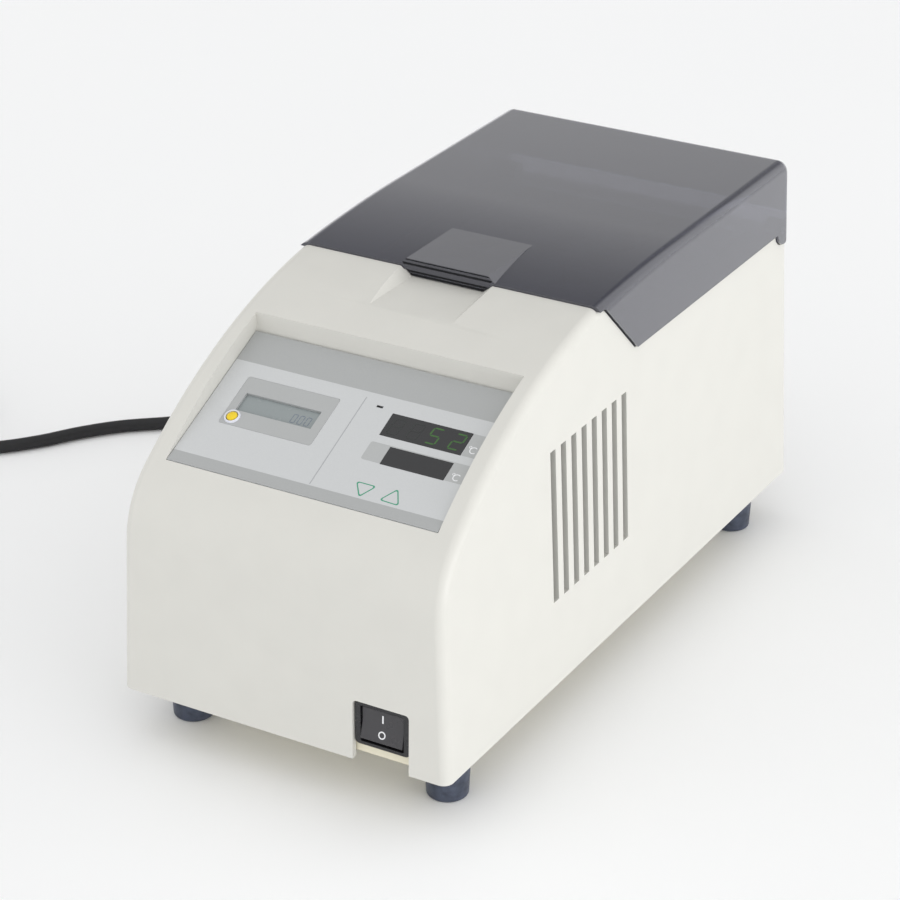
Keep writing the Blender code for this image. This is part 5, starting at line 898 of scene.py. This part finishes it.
def case_outline():
    """The case before the room behind the ridge is cut from it, so that its rounding runs on."""
    points = front_and_slope(0, COVER_BOTTOM, BULKHEAD_FOOT_Y)
    step_y = 2 * BULKHEAD_FOOT_Y - LAND_END_Y
    spare_deck = DECK_HEIGHT + WALL
    return points + [(step_y, points[-1][1]), (step_y, spare_deck), (rear_y(spare_deck), spare_deck),
                     (rear_y(COVER_BOTTOM), COVER_BOTTOM)]


def room_outline():
    """What is cut away behind the ridge: above the land, the bulkhead and the deck."""
    behind = from_front(CASE_DEPTH + WALL)
    return [(RIDGE_Y, ABOVE_CASE), (RIDGE_Y, LAND_HEIGHT), (LAND_END_Y, LAND_HEIGHT),
            (BULKHEAD_FOOT_Y, DECK_HEIGHT), (behind, DECK_HEIGHT), (behind, ABOVE_CASE)]


def cavity_outline():
    """The inside of the cover, open below, one wall in from the case's outline."""
    bottom = COVER_BOTTOM - WALL
    ceiling = LAND_HEIGHT - WALL
    end_y = SLOPE_CENTRE[0] - math.sqrt((SLOPE_RADIUS - WALL) ** 2 - (ceiling - SLOPE_CENTRE[1]) ** 2)
    along = Vector((BULKHEAD_FOOT_Y - LAND_END_Y, DECK_HEIGHT - LAND_HEIGHT)).normalized()
    inner = (LAND_END_Y + WALL * along.y, LAND_HEIGHT - WALL * along.x)
    points = front_and_slope(WALL, bottom, end_y, 8, 16)
    points += [crossing(inner, along, (0, height), (1, 0)) for height in (ceiling, DECK_HEIGHT - WALL)]
    points += [(rear_y(height, WALL), height) for height in (DECK_HEIGHT - WALL, bottom)]
    return points


def recess_outline(floor, spare):
    """Side outline of the panel's recess, its floor this far from the panel's face."""
    def place(up, out):
        return (PANEL_MATRIX @ Vector((0, up, out)))[1:]
    foot = place(-FIT_GAP - spare, floor - spare)
    back_y = place(PANEL_LENGTH, -PANEL_THICKNESS)[0] + FIT_GAP + spare
    back = crossing(foot, (math.cos(PANEL_TILT), math.sin(PANEL_TILT)), (back_y, 0), (0, 1))
    mouth = place(-FIT_GAP - spare, 0)
    return [foot, back, (back_y, ABOVE_CASE), (mouth[0], ABOVE_CASE), mouth]


def scoop(name, spare):
    """The wedge of the finger scoop, with its floor and sides moved out by spare."""
    run = TAB_FRONT_Y - SCOOP_START_Y
    floor_slope = (SCOOP_END_HEIGHT - SCOOP_START_HEIGHT) / run
    floor_flare = (SCOOP_FLOOR_HALF_WIDTH - SCOOP_HALF_WIDTH) / run

    def place(side, depth, level):
        y = TAB_FRONT_Y + SCOOP_UNDER_TAB if depth > 0 else SCOOP_START_Y - SCOOP_RUN_OUT - spare
        floor = SCOOP_START_HEIGHT + floor_slope * (y - SCOOP_START_Y)
        flat = SCOOP_HALF_WIDTH + floor_flare * (y - SCOOP_START_Y) + spare
        height = ABOVE_CASE if level > 0 else floor - spare
        return (side * (flat + SCOOP_SIDE_SLOPE * (height - floor)), y, height)
    return wedge(name, place)


def notch(name, middle_x, half, top, near_y, far_y):
    """A cutter for a notch in the cover's bottom edge."""
    middle = (middle_x, (NOTCH_BOTTOM + top) / 2)
    outline = rounded_outline(rectangle(middle, (2 * half, top - NOTCH_BOTTOM)), NOTCH_CORNER, 8)
    return upright_prism(name, outline, near_y, far_y)


def make_cover():
    """The moulded cover, with the same form as the part's and finer rounding."""
    def on_front_and_slope(middle):
        return middle.y < RIDGE_Y - MM * 0.1 and middle.z > COVER_BOTTOM + MM * 0.1

    def on_rear(middle):
        return middle.y > HINGE_Y and COVER_BOTTOM + MM < middle.z < DECK_HEIGHT - MM

    def on_front_and_top(middle):
        return on_front_and_slope(middle) or middle.z > LAND_HEIGHT and middle.y < HINGE_Y
    cover = drafted_body("cover_shell", case_outline(), 0.0,
                         [(on_front_and_top, CORNER_RADIUS, 10), (on_rear, REAR_CORNER_RADIUS, 8)])
    cut(cover, side_prism("room_behind_ridge", room_outline(), -CASE_WIDTH, CASE_WIDTH))
    cavity = drafted_body("cavity", cavity_outline(), -WALL, [(on_front_and_slope, CORNER_RADIUS - WALL, 4)])
    half_panel = PANEL_WIDTH / 2 + FIT_GAP
    cut(cavity, side_prism("recess_wall", recess_outline(RECESS_FLOOR, WALL), -half_panel - WALL,
                           half_panel + WALL), scoop("scoop_wall", WALL))
    half_opening = PANEL_WIDTH / 2 - PANEL_LEDGE
    cut(cover, cavity, scoop("finger_scoop", 0.0),
        side_prism("panel_recess", recess_outline(RECESS_FLOOR, 0), -half_panel, half_panel),
        box("panel_opening", (-half_opening, PANEL_LEDGE, RECESS_FLOOR - 2 * WALL),
            (half_opening, PANEL_LENGTH - PANEL_LEDGE, RECESS_FLOOR + WALL / 2), PANEL_MATRIX))
    radius = EAR_RADIUS + EAR_GAP
    for side in (-1, 1):
        low, high = span(side, EAR_POCKET_X - HINGE_LUG_LENGTH, EAR_POCKET_X)
        axis = (low, HINGE_Y, HINGE_HEIGHT)
        join(cover, cylinder("lug_round", HINGE_LUG_RADIUS, axis, (1, 0, 0), high - low),
             box("lug_block", (low, HINGE_Y - HINGE_LUG_RADIUS, DECK_HEIGHT - WALL),
                 (high, HINGE_Y + HINGE_LUG_RADIUS, HINGE_HEIGHT)))
        vents = []
        low, high = span(side, half_width(VENT_TOP) - 2 * WALL, half_width(VENT_BOTTOM) + WALL)
        for i in range(VENT_COUNT):
            y = VENT_FIRST_Y + i * VENT_PITCH
            vents.append(box("vent", (low, y - VENT_WIDTH / 2, VENT_BOTTOM),
                             (high, y + VENT_WIDTH / 2, VENT_TOP)))
        low, high = span(side, EAR_POCKET_X, EAR_POCKET_X + EAR_POCKET_REACH)
        cut(cover, cylinder("ear_pocket", radius, (low, HINGE_Y, HINGE_HEIGHT), (1, 0, 0), high - low, 48),
            box("ear_swing", (low, HINGE_Y, HINGE_HEIGHT - radius),
                (high, HINGE_Y + 2 * EAR_RADIUS, HINGE_HEIGHT + radius)), *vents)
    half_x, half_y = (half + FIT_GAP for half in CHAMBER_HALF_SIZE)
    cut(cover,
        box("chamber_opening", (-half_x, CHAMBER_CENTRE_Y - half_y, DECK_HEIGHT - 2 * WALL),
            (half_x, CHAMBER_CENTRE_Y + half_y, DECK_HEIGHT + WALL)),
        notch("switch_notch", SWITCH_PLACE[0], SWITCH_BEZEL[0] / 2 + NOTCH_GAP,
              SWITCH_PLACE[1] + SWITCH_BEZEL[1] / 2 + NOTCH_GAP, from_front(-WALL), from_front(2.5 * WALL)),
        notch("rear_notch", 0, REAR_NOTCH_HALF_WIDTH, REAR_NOTCH_TOP,
              from_front(CASE_DEPTH - 2.5 * WALL), from_front(CASE_DEPTH + WALL)))
    settle(soften(cover, EDGE_SOFTNESS), IVORY, "casing_cover")


# Lid


def lid_outline(inset, start_y, bottom, top_steps, corner_steps):
    """The lid from the side: its crowned top from start_y, its rear corner and down to the bottom."""
    centre = (LID_CROWN_Y, LID_TOP - LID_CROWN_RADIUS)
    start = math.acos((start_y - centre[0]) / (LID_CROWN_RADIUS - inset))
    corner = (LID_REAR_Y - LID_REAR_RADIUS, LID_TOP - LID_REAR_RADIUS)
    return (arc(centre, LID_CROWN_RADIUS - inset, start, math.pi / 2, top_steps)
            + arc(corner, LID_REAR_RADIUS - inset, math.pi / 2, 0, corner_steps)
            + [(LID_REAR_Y - inset, bottom), (start_y, bottom)])


def below_lid_outline(bottom):
    """What is cut away below the lid: over the land, the bulkhead and the deck, and round its ears."""
    below = HINGE_HEIGHT - 2 * EAR_RADIUS
    behind = LID_REAR_Y + LID_WALL
    before = LID_FRONT_Y - LID_WALL
    last = math.asin((HINGE_HEIGHT - bottom) / EAR_RADIUS) - math.pi
    ear = arc((HINGE_Y, HINGE_HEIGHT), EAR_RADIUS, -EAR_FRONT_ANGLE, last, 22)
    rise = (behind - ear[0][0]) / math.tan(EAR_FRONT_ANGLE)
    land = LAND_HEIGHT + SEAT_GAP
    return [(behind, below), (behind, ear[0][1] + rise), *ear, (BULKHEAD_FOOT_Y + EAR_GAP, bottom),
            (LAND_END_Y + EAR_GAP, land), (before, land), (before, below)]


def lid_inner_x(height):
    """Half the lid's width inside, at this height."""
    return half_width(height) + LID_PROUD - LID_WALL


def make_lid():
    """The smoked lid: a crowned shell open below and in front, with ears and a finger tab."""
    bottom = DECK_HEIGHT + SEAT_GAP
    low = HINGE_HEIGHT - 2 * EAR_RADIUS
    far_front = RIDGE_Y - LID_HOLLOW_RUN_OUT

    def on_top_and_rear(middle):
        on_rear = middle.y > HINGE_Y and middle.z > bottom
        return on_rear or middle.z > LID_FRONT_TOP - LID_WALL / 10

    def on_inner_edges(middle):
        return middle.y > far_front + LID_WALL / 10 and middle.z > HINGE_HEIGHT - EAR_RADIUS
    lid = drafted_body("smoked_lid", lid_outline(0, LID_FRONT_Y, HINGE_HEIGHT - 1.3 * EAR_RADIUS, 24, 10),
                       LID_PROUD, [(on_top_and_rear, LID_EDGE_RADIUS, 8)])
    cut(lid, side_prism("below_lid", below_lid_outline(bottom), -CASE_WIDTH, CASE_WIDTH))
    side_x = lid_inner_x(LID_BACK_WALL_BOTTOM)
    cut(lid, drafted_body("hollow", lid_outline(LID_WALL, far_front, low, 28, 8), LID_PROUD - LID_WALL,
                          [(on_inner_edges, LID_EDGE_RADIUS - LID_WALL, 6)]),
        box("rear_gap", (-side_x, LID_INNER_REAR_Y - LID_REAR_RADIUS, low),
            (side_x, LID_REAR_Y + WALL, LID_BACK_WALL_BOTTOM)))
    join(lid, tab_wedge(), tab_lip())
    settle(soften(lid, LID_EDGE_SOFTNESS, 2, 35), SMOKED, "lid", body="lid")


def make_painted_highlights():
    """Painted highlights: thin glowing strips along the edges of the lid's back wall, standing in for the
    light those edges catch inside the lid.
    """
    low_x = lid_inner_x(LID_BACK_WALL_BOTTOM)
    foot = box("lid_highlight_strip_foot", (-low_x, LID_INNER_REAR_Y - HIGHLIGHT_STRIP_WIDTH, LID_BACK_WALL_BOTTOM),
               (low_x, LID_INNER_REAR_Y + HIGHLIGHT_STRIP_WIDTH, LID_BACK_WALL_BOTTOM + HIGHLIGHT_STRIP_WIDTH))
    settle(foot, PAINTED_HIGHLIGHT, body="lid", slot="smoked_acrylic")
    for name, side in (("left", -1), ("right", 1)):
        def place(across, depth, level):
            height = LID_TOP - LID_REAR_RADIUS if level > 0 else LID_BACK_WALL_BOTTOM
            x = lid_inner_x(height) + across * HIGHLIGHT_STRIP_WIDTH / 2
            return (side * x, LID_INNER_REAR_Y + depth * HIGHLIGHT_STRIP_WIDTH / 2, height)
        settle(wedge(f"lid_highlight_strip_{name}", place), PAINTED_HIGHLIGHT, body="lid", slot="smoked_acrylic")


def lip_half_width(height):
    """Half the width of the tab's lip, which fits between the scoop's sloping sides."""
    return SCOOP_FLOOR_HALF_WIDTH + SCOOP_SIDE_SLOPE * (height - SCOOP_END_HEIGHT) - 2 * FIT_GAP


def make_lip_faces():
    """Dark faces on the tab's stepped lip: the smoked acrylic's dark cut edges, and painted shade for the
    hollow under the tab.
    """
    for index, drops in enumerate(LIP_FACES):
        def place(side, depth, level):
            drop = drops[0] if level > 0 else drops[1]
            height = TAB_TOP - drop
            half = min(TAB_HALF_WIDTH + TAB_FLARE * drop, lip_half_width(height)) - LIP_FACE_PROUD
            return (side * half, TAB_FRONT_Y + (MM if depth > 0 else -LIP_FACE_PROUD), height)
        settle(wedge(f"lip_face_{index + 1}", place), SMOKED_EDGE_AND_SHADE, body="lid", slot="smoked_acrylic")


def tab_wedge():
    """The flat finger tab that rises from the lid's crown towards its front."""
    rear = LID_CROWN_Y - math.sqrt(LID_CROWN_RADIUS ** 2 - (LID_CROWN_RADIUS - LID_TOP + TAB_TOP) ** 2)
    sink = TAB_TOP - LID_FRONT_TOP + LID_WALL * 0.7

    def place(side, depth, level):
        drop = 0 if level > 0 else sink
        if depth < 0:
            return (side * (TAB_HALF_WIDTH + TAB_FLARE * drop), TAB_FRONT_Y, TAB_TOP - drop)
        return (side * TAB_HALF_WIDTH, rear - drop * 0.2, TAB_TOP - drop * 0.1)
    return wedge("tab_wedge", place)


def tab_lip():
    """The tab's front lip, which hangs into the finger scoop."""
    def place(side, depth, level):
        height = LID_FRONT_TOP - LID_WALL * 0.3 if level > 0 else SCOOP_END_HEIGHT + 2 * SEAT_GAP
        return (side * lip_half_width(height), TAB_FRONT_Y + (LID_WALL if depth > 0 else 0), height)
    return wedge("tab_lip", place)


# Front panel


def on_panel(name, outline, low, high):
    """An outline on the panel's plane, carried from low to high along its normal."""
    return prism(name, outline, low, high, PANEL_MATRIX)


def through_panel(outline):
    return on_panel("through_panel", outline, -2 * PANEL_THICKNESS, PANEL_THICKNESS)


def mark(item, material):
    return settle(item, material, slot="grey_panel_film")


def grey_field(name, left, low, high, radius):
    """A printed field that runs to the panel's right edge."""
    right = PANEL_WIDTH / 2
    outline = rounded_outline([(left, low), (right, low), (right, high), (left, high)], radius)
    return on_panel(name, outline, FILM_TOP, PRINT_TOP)


def make_panel():
    """The panel's plate and its printed film, with bands, grey fields, a divider and key signs."""
    whole = rectangle((0, PANEL_LENGTH / 2), (PANEL_WIDTH, PANEL_LENGTH))
    rim = rounded_outline(rectangle(TIMER_PLACE, TIMER_SIZE, FILM_GAP), TIMER_CORNER + FILM_GAP)
    windows = [(TEMP_PLACE, TEMP_SIZE), (SET_PLACE, SET_SIZE)]
    holes = [(TIMER_PLACE, TIMER_BODY_SIZE), *windows, (LAMP_PLACE, LAMP_SIZE)]
    holes += [(place, KEY_SIZE) for place in KEY_PLACES]
    plate = on_panel("panel_plate", whole, -PANEL_THICKNESS, 0)
    cut(plate, *[through_panel(rectangle(*hole, SEAT_GAP)) for hole in holes],
        on_panel("rebate", rim, TIMER_PROUD - TIMER_FLANGE_THICKNESS - SEAT_GAP, PANEL_THICKNESS))
    settle(plate, FILM, "front_panel")
    film = on_panel("panel_film", whole, FILM_BOTTOM, FILM_TOP)
    cut(film, through_panel(rim), *[through_panel(rectangle(*hole, FILM_GAP))
                                    for hole in windows + [(LAMP_PLACE, LAMP_SEEN)]])
    mark(film, FILM)
    for name, (low, high) in BANDS:
        outline = rectangle((0, (low + high) / 2), (PANEL_WIDTH, high - low))
        mark(on_panel(f"band_{name}", outline, FILM_TOP, PRINT_TOP), FILM_BAND)
    mark(on_panel("divider", rectangle(*DIVIDER), FILM_TOP, PRINT_TOP), FILM_LINE)
    mark(grey_field("temp_field", *TEMP_FIELD), FILM_GREY)
    set_field = grey_field("set_field", *SET_FIELD)
    mark(cut(set_field, through_panel(rectangle(SET_PLACE, SET_SIZE, FILM_GAP))), FILM_GREY)
    for name, corners in KEY_SIGNS:
        make_key_sign(f"key_sign_{name}", corners)
    for name, place in DEGREE_SIGNS:
        make_degree_sign(name, place)


def make_key_sign(name, corners):
    """A rounded triangle drawn in outline, its corners listed anticlockwise."""
    outer = rounded_outline(corners, KEY_SIGN_CORNER)
    middle = sum((Vector(corner) for corner in corners), Vector((0, 0))) / 3
    inner = [Vector(point) - (Vector(point) - middle).normalized() * KEY_SIGN_LINE for point in outer]
    mark(band(name, outer, inner, FILM_TOP, PRINT_TOP, PANEL_MATRIX), FILM_GREEN)


def make_degree_sign(name, place):
    """The sign for degrees Celsius: a small ring and a C."""
    high = FILM_TOP + 2 * PRINT
    middle = (place[0] - 2.2 * MM, place[1] + 1.5 * MM)
    mark(band(f"degree_ring_{name}", circle(middle, 0.75 * MM, 16), circle(middle, 0.45 * MM, 16),
              FILM_TOP, high, PANEL_MATRIX), FILM_WHITE)
    start, end = math.radians(48), math.radians(312)
    outline = arc(place, 2 * MM, start, end, 20) + arc(place, 1.5 * MM, end, start, 20)
    mark(on_panel(f"celsius_{name}", outline, FILM_TOP, high), FILM_WHITE)


SEGMENTS = {"0": "abcdef", "2": "abged", "5": "afgcd", "8": "abcdefg"}
BARS = {"a": ((-1, 1), (1, 1)), "b": ((1, 0), (1, 1)), "c": ((1, -1), (1, 0)), "d": ((-1, -1), (1, -1)),
        "e": ((-1, -1), (-1, 0)), "f": ((-1, 0), (-1, 1)), "g": ((-1, 0), (1, 0))}


def make_digit(name, character, place, size, stroke, height, material, slant, slot):
    """A seven segment digit round its middle, leaning by slant, as a single piece of separate bars."""
    half = ((size[0] - stroke) / 2, (size[1] - stroke) / 2)
    bm = bmesh.new()
    for letter in SEGMENTS[character]:
        start, end = (Vector((x * half[0], y * half[1])) for x, y in BARS[letter])
        along = (end - start).normalized() * stroke
        across = Vector((-along.y, along.x)) / 2
        start, end, tip = start + along * 0.18, end - along * 0.18, along / 2
        near, far = start + tip, end - tip
        corners = [start, near - across, far - across, end, far + across, near + across]
        draw_out(bm, [(place[0] + p.x + slant * p.y, place[1] + p.y, height) for p in corners], (0, 0, PRINT))
    settle(add_mesh(bm, name, PANEL_MATRIX), material, slot=slot, weighted=False)


def make_displays():
    """The two dark windows, the lamp, and the upper window's lit digits."""
    for name, place, size in (("temp", TEMP_PLACE, TEMP_SIZE), ("set", SET_PLACE, SET_SIZE)):
        lens = on_panel(f"{name}_lens", rectangle(place, size), -LENS_THICKNESS, FILM_TOP)
        settle(soften(lens, 0.05 * MM), LENS, f"{name}_window")
    lamp = rounded_outline(rectangle(LAMP_PLACE, LAMP_SIZE), 0.4 * MM)
    settle(on_panel("lamp_lens", lamp, -LENS_THICKNESS, 0), LENS)
    materials = (SEGMENT_DARK, SEGMENT_DARK, SEGMENT_LIT, SEGMENT_LIT)
    for i, (character, across, material) in enumerate(zip("8852", DIGIT_PLACES, materials)):
        place = (TEMP_PLACE[0] + across, TEMP_PLACE[1])
        make_digit(f"temp_digit_{i + 1}", character, place, mm(6, 10), 0.9 * MM, FILM_TOP + PRINT / 3,
                   material, 0.1, "dark_lens")


def make_timer():
    """The clip-in timer: grey bezel, sunk liquid crystal window, and the yellow button in its ring."""
    face = TIMER_PROUD
    floor = face - LCD_SINK
    bottom = floor - LCD_THICKNESS
    skirt = face - BUTTON_SKIRT
    outline = rounded_outline(rectangle(TIMER_PLACE, TIMER_SIZE), TIMER_CORNER)
    bezel = on_panel("timer_bezel", outline, face - TIMER_FLANGE_THICKNESS, face)
    join(bezel, on_panel("timer_box", rectangle(TIMER_PLACE, TIMER_BODY_SIZE), -TIMER_BODY_DEPTH,
                         face - TIMER_FLANGE_THICKNESS / 2))
    cut(bezel, on_panel("window", rectangle(LCD_PLACE, LCD_SIZE, FILM_GAP), bottom - SEAT_GAP, face + MM),
        cylinder("well", BUTTON_RADIUS + SEAT_GAP, (*BUTTON_PLACE, skirt - MM), (0, 0, 1),
                 BUTTON_SKIRT + 2 * MM, matrix=PANEL_MATRIX))
    settle(soften(bezel, 0.08 * MM), TIMER_GREY, "timer_module")
    settle(on_panel("lcd_window", rectangle(LCD_PLACE, LCD_SIZE), bottom, floor), LCD, "timer_lcd")
    for i, (across, up) in enumerate(LCD_DIGIT_PLACES):
        place = (LCD_PLACE[0] + across, LCD_PLACE[1] + up)
        make_digit(f"timer_digit_{i + 1}", "0", place, mm(2.6, 5.4), 0.42 * MM, floor, LCD_INK, 0.05,
                   "lcd_glass")
    top = face + BUTTON_PROUD
    dome = arc((0, top - BUTTON_DOME), BUTTON_DOME, math.pi / 2, math.radians(66), 6)
    profile = [(0, top), *dome[1:], (BUTTON_RADIUS, top - BUTTON_SHOULDER), (BUTTON_RADIUS, skirt),
               (0, skirt)]
    place = PANEL_MATRIX @ Matrix.Translation((*BUTTON_PLACE, 0))
    settle(turned("button_cap", profile, place), YELLOW, "timer_button", body="timer_button")
    ring = turned("button_ring", [(radius, face + up) for radius, up in RING_PROFILE], place)
    settle(ring, CLEAR_RING, slot="timer_grey_plastic")


# Power switch


def make_switch():
    """The rocker switch: rounded bezel, dished rocker, and the bar and ring signs on it."""
    body = upright_prism("switch_bezel", rounded_outline(rectangle(SWITCH_PLACE, SWITCH_BEZEL), 2 * MM, 8),
                         SWITCH_FACE_Y, SWITCH_FACE_Y + SWITCH_BEZEL_THICKNESS)
    join(body, upright_prism("switch_case", rectangle(SWITCH_PLACE, SWITCH_BODY),
                             SWITCH_FACE_Y + SWITCH_BEZEL_THICKNESS / 2, SWITCH_FACE_Y + SWITCH_BODY_DEPTH))
    well = rectangle(SWITCH_PLACE, (ROCKER_WIDTH, 2 * ROCKER_RADIUS), FIT_GAP)
    cut(body, upright_prism("rocker_well", rounded_outline(well, 0.6 * MM, 8), SWITCH_FACE_Y - MM,
                            SWITCH_FACE_Y + ROCKER_PIVOT_DEPTH + ROCKER_RADIUS * 0.75))
    settle(soften(body, 0.5 * MM, 3), SWITCH_BLACK, "switch_body", slot="black_plastic")

    pivot = (SWITCH_PLACE[0], SWITCH_FACE_Y + ROCKER_PIVOT_DEPTH, SWITCH_PLACE[1])
    turn = Matrix.Translation(pivot) @ Matrix.Rotation(-ROCKER_TILT, 4, "X")
    lean = math.asin(ROCKER_HALF_HEIGHT / ROCKER_RADIUS)
    edge_y = -ROCKER_RADIUS * math.cos(lean)
    outline = [(edge_y, ROCKER_HALF_HEIGHT), (edge_y + ROCKER_DISH, 0), (edge_y, -ROCKER_HALF_HEIGHT)]
    outline += arc((0, 0), ROCKER_RADIUS, math.pi + lean, math.pi * 1.5 + ROCKER_TAIL_ANGLE, 10)[1:]
    outline += [(ROCKER_RADIUS * 0.42, 0)]
    outline += arc((0, 0), ROCKER_RADIUS, math.pi / 2 - ROCKER_TAIL_ANGLE, math.pi - lean, 10)[:-1]
    rocker = side_prism("rocker_cap", outline, -ROCKER_WIDTH / 2, ROCKER_WIDTH / 2, turn)
    settle(soften(rocker, 0.35 * MM, 3), ROCKER_BLACK_AND_REFLECTION, "switch_rocker", body="rocker", slot="black_plastic")

    def facet(side):
        """The middle of the rocker's upper or lower face, its Z out of the face."""
        middle = (0, edge_y + ROCKER_DISH / 2, side * ROCKER_HALF_HEIGHT / 2)
        tilt = math.pi / 2 + side * math.atan2(ROCKER_DISH, ROCKER_HALF_HEIGHT)
        return turn @ Matrix.Translation(middle) @ Matrix.Rotation(tilt, 4, "X")
    for sign in (prism("sign_on", rectangle((0, 0), mm(0.75, 4)), *SIGN_HEIGHTS, facet(1)),
                 band("sign_off", circle((0, 0), 1.9 * MM, 28), circle((0, 0), 1.3 * MM, 28),
                      *SIGN_HEIGHTS, facet(-1))):
        settle(sign, FILM_WHITE, body="rocker", slot="black_plastic")


# Feet and blocks


def make_feet():
    corner = (FOOT_BOTTOM_RADIUS - FOOT_ROUNDING, FOOT_ROUNDING)
    profile = [(FOOT_BORE_RADIUS, FOOT_TOP), (FOOT_RADIUS - FOOT_TOP_EDGE, FOOT_TOP),
               (FOOT_RADIUS, FOOT_TOP - FOOT_TOP_EDGE), (FOOT_RADIUS, FOOT_TOP * FOOT_WAIST),
               *arc(corner, FOOT_ROUNDING, 0, -math.pi / 2, 8), (FOOT_COUNTERBORE_RADIUS, 0),
               (FOOT_COUNTERBORE_RADIUS, FOOT_COUNTERBORE_DEPTH), (FOOT_BORE_RADIUS, FOOT_COUNTERBORE_DEPTH),
               (FOOT_BORE_RADIUS, FOOT_TOP)]
    for end in ("front_left", "front_right", "rear_left", "rear_right"):
        low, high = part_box(f"foot_{end}")
        place = Matrix.Translation(((low.x + high.x) / 2, (low.y + high.y) / 2, 0))
        settle(turned(f"rubber_foot_{end}", profile, place), FOOT_RUBBER, f"foot_{end}")


def make_blocks():
    """The two lift-out blocks with countersunk wells."""
    bottom = DECK_HEIGHT - CHAMBER_DEPTH + SEAT_GAP
    top = bottom + BLOCK_HEIGHT
    profile = [(0, MM), (WELL_RADIUS + WELL_CHAMFER + MM, MM), (WELL_RADIUS, -WELL_CHAMFER),
               (WELL_RADIUS, WELL_RADIUS / 2 - WELL_DEPTH), (WELL_RADIUS * 0.7, WELL_RADIUS / 8 - WELL_DEPTH),
               (0, -WELL_DEPTH)]
    for name, side in (("front", -1), ("rear", 1)):
        middle = CHAMBER_CENTRE_Y + side * BLOCK_SPACING / 2
        block = box(f"tube_block_{name}", (-BLOCK_HALF_WIDTH, middle - BLOCK_LENGTH / 2, bottom),
                    (BLOCK_HALF_WIDTH, middle + BLOCK_LENGTH / 2, top))
        soften(block, BLOCK_BEVEL, 1)
        cut(block, *[turned("well", profile, Matrix.Translation((x, middle + y, top)), 40)
                     for y in WELL_ROWS for x in WELL_COLUMNS])
        settle(block, ALUMINIUM, f"block_{name}")


# Finishes of the part's own pieces that stay


def dress_nodes():
    """Give each remaining node its finish."""
    finishes = (
        (STEEL, "hinge_pin_left hinge_pin_right chamber_tray temperature_sensor mains_fuse transformer_core"),
        (CREAM_STEEL, "base_chassis"),
        (FILM, "key_down key_up"),
        (BLACK_PLASTIC, "temp_display set_display key_switch_down key_switch_up thermal_cutout fuse_holder"),
        (BLACK_PLASTIC, "terminal_block"),
        (LENS, "heater_lamp"),
        (BOARD_GREEN, "display_board control_board"),
        (ALUMINIUM, "heater_plate heatsink"),
        (SILICONE, "film_heater"),
        (FOAM, "insulation_jacket"),
        (COIL_TAPE, "transformer_coil"),
    )
    chosen = {name: material for material, names in finishes for name in names.split()}
    for name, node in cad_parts.items():
        if name.startswith(("foot_screw", "cover_screw", "standoff")):
            chosen[name] = STEEL
        if name in chosen:
            node.data.materials.clear()
            node.data.materials.append(chosen[name])


# Floor and light


def make_stage():
    """A pale floor."""
    bm = bmesh.new()
    bm.faces.new([bm.verts.new((x, y, 0)) for x, y in rectangle((0, 0), (2 * FLOOR_REACH, 2 * FLOOR_REACH))])
    floor = add_mesh(bm, "floor")
    floor.data.materials.append(surface("pale_floor", (0.965, 0.97, 0.975), 0.6, mottle=(400, 0.004)))


def make_light():
    """Even studio light: a pale sky with a darker part behind the object, and a soft box from the right."""
    world = bpy.data.worlds.new("studio")
    bpy.context.scene.world = world
    world.use_nodes = True
    tree = world.node_tree
    direction = tree.nodes.new("ShaderNodeTexCoord").outputs["Generated"]
    split = tree.nodes.new("ShaderNodeSeparateXYZ")
    behind = tree.nodes.new("ShaderNodeVectorMath")
    behind.operation = "DOT_PRODUCT"
    behind.inputs[1].default_value = (-math.sin(CAMERA_AZIMUTH), math.cos(CAMERA_AZIMUTH), 0)
    mix = tree.nodes.new("ShaderNodeMix")
    mix.data_type = "RGBA"
    tree.links.new(direction, split.inputs["Vector"])
    tree.links.new(direction, behind.inputs[0])
    height = split.outputs["Z"]
    share, sky, dark = mix.inputs[0], mix.inputs[6], mix.inputs[7]
    for target, value, stops in ((sky, height, SKY_ELSEWHERE), (dark, height, SKY_BEHIND),
                                 (share, behind.outputs["Value"], SKY_BEHIND_WIDTH)):
        greys = [(position, (brightness,) * 3) for position, brightness in stops]
        tree.links.new(colour_ramp(tree, value, greys), target)
    tree.links.new(mix.outputs[2], tree.nodes["Background"].inputs["Color"])
    tree.nodes["Background"].inputs["Strength"].default_value = 1.0

    data = bpy.data.lights.new("right_box", "AREA")
    data.shape = "RECTANGLE"
    data.size, data.size_y = RIGHT_BOX_SIZE
    data.energy = RIGHT_BOX_POWER
    turn = (RIGHT_BOX_AIM - RIGHT_BOX_PLACE).to_track_quat("-Z", "Y").to_matrix().to_4x4()
    add_object("right_box", data, Matrix.Translation(RIGHT_BOX_PLACE) @ turn)
    bpy.context.scene.view_settings.view_transform = "Standard"


make_camera()
LEAD = make_cord()
make_relief()
make_tie()
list(make_plug())
make_cover()
make_lid()
make_painted_highlights()
make_lip_faces()
make_panel()
make_displays()
make_timer()
make_switch()
make_feet()
make_blocks()
dress_nodes()
make_stage()
make_light()
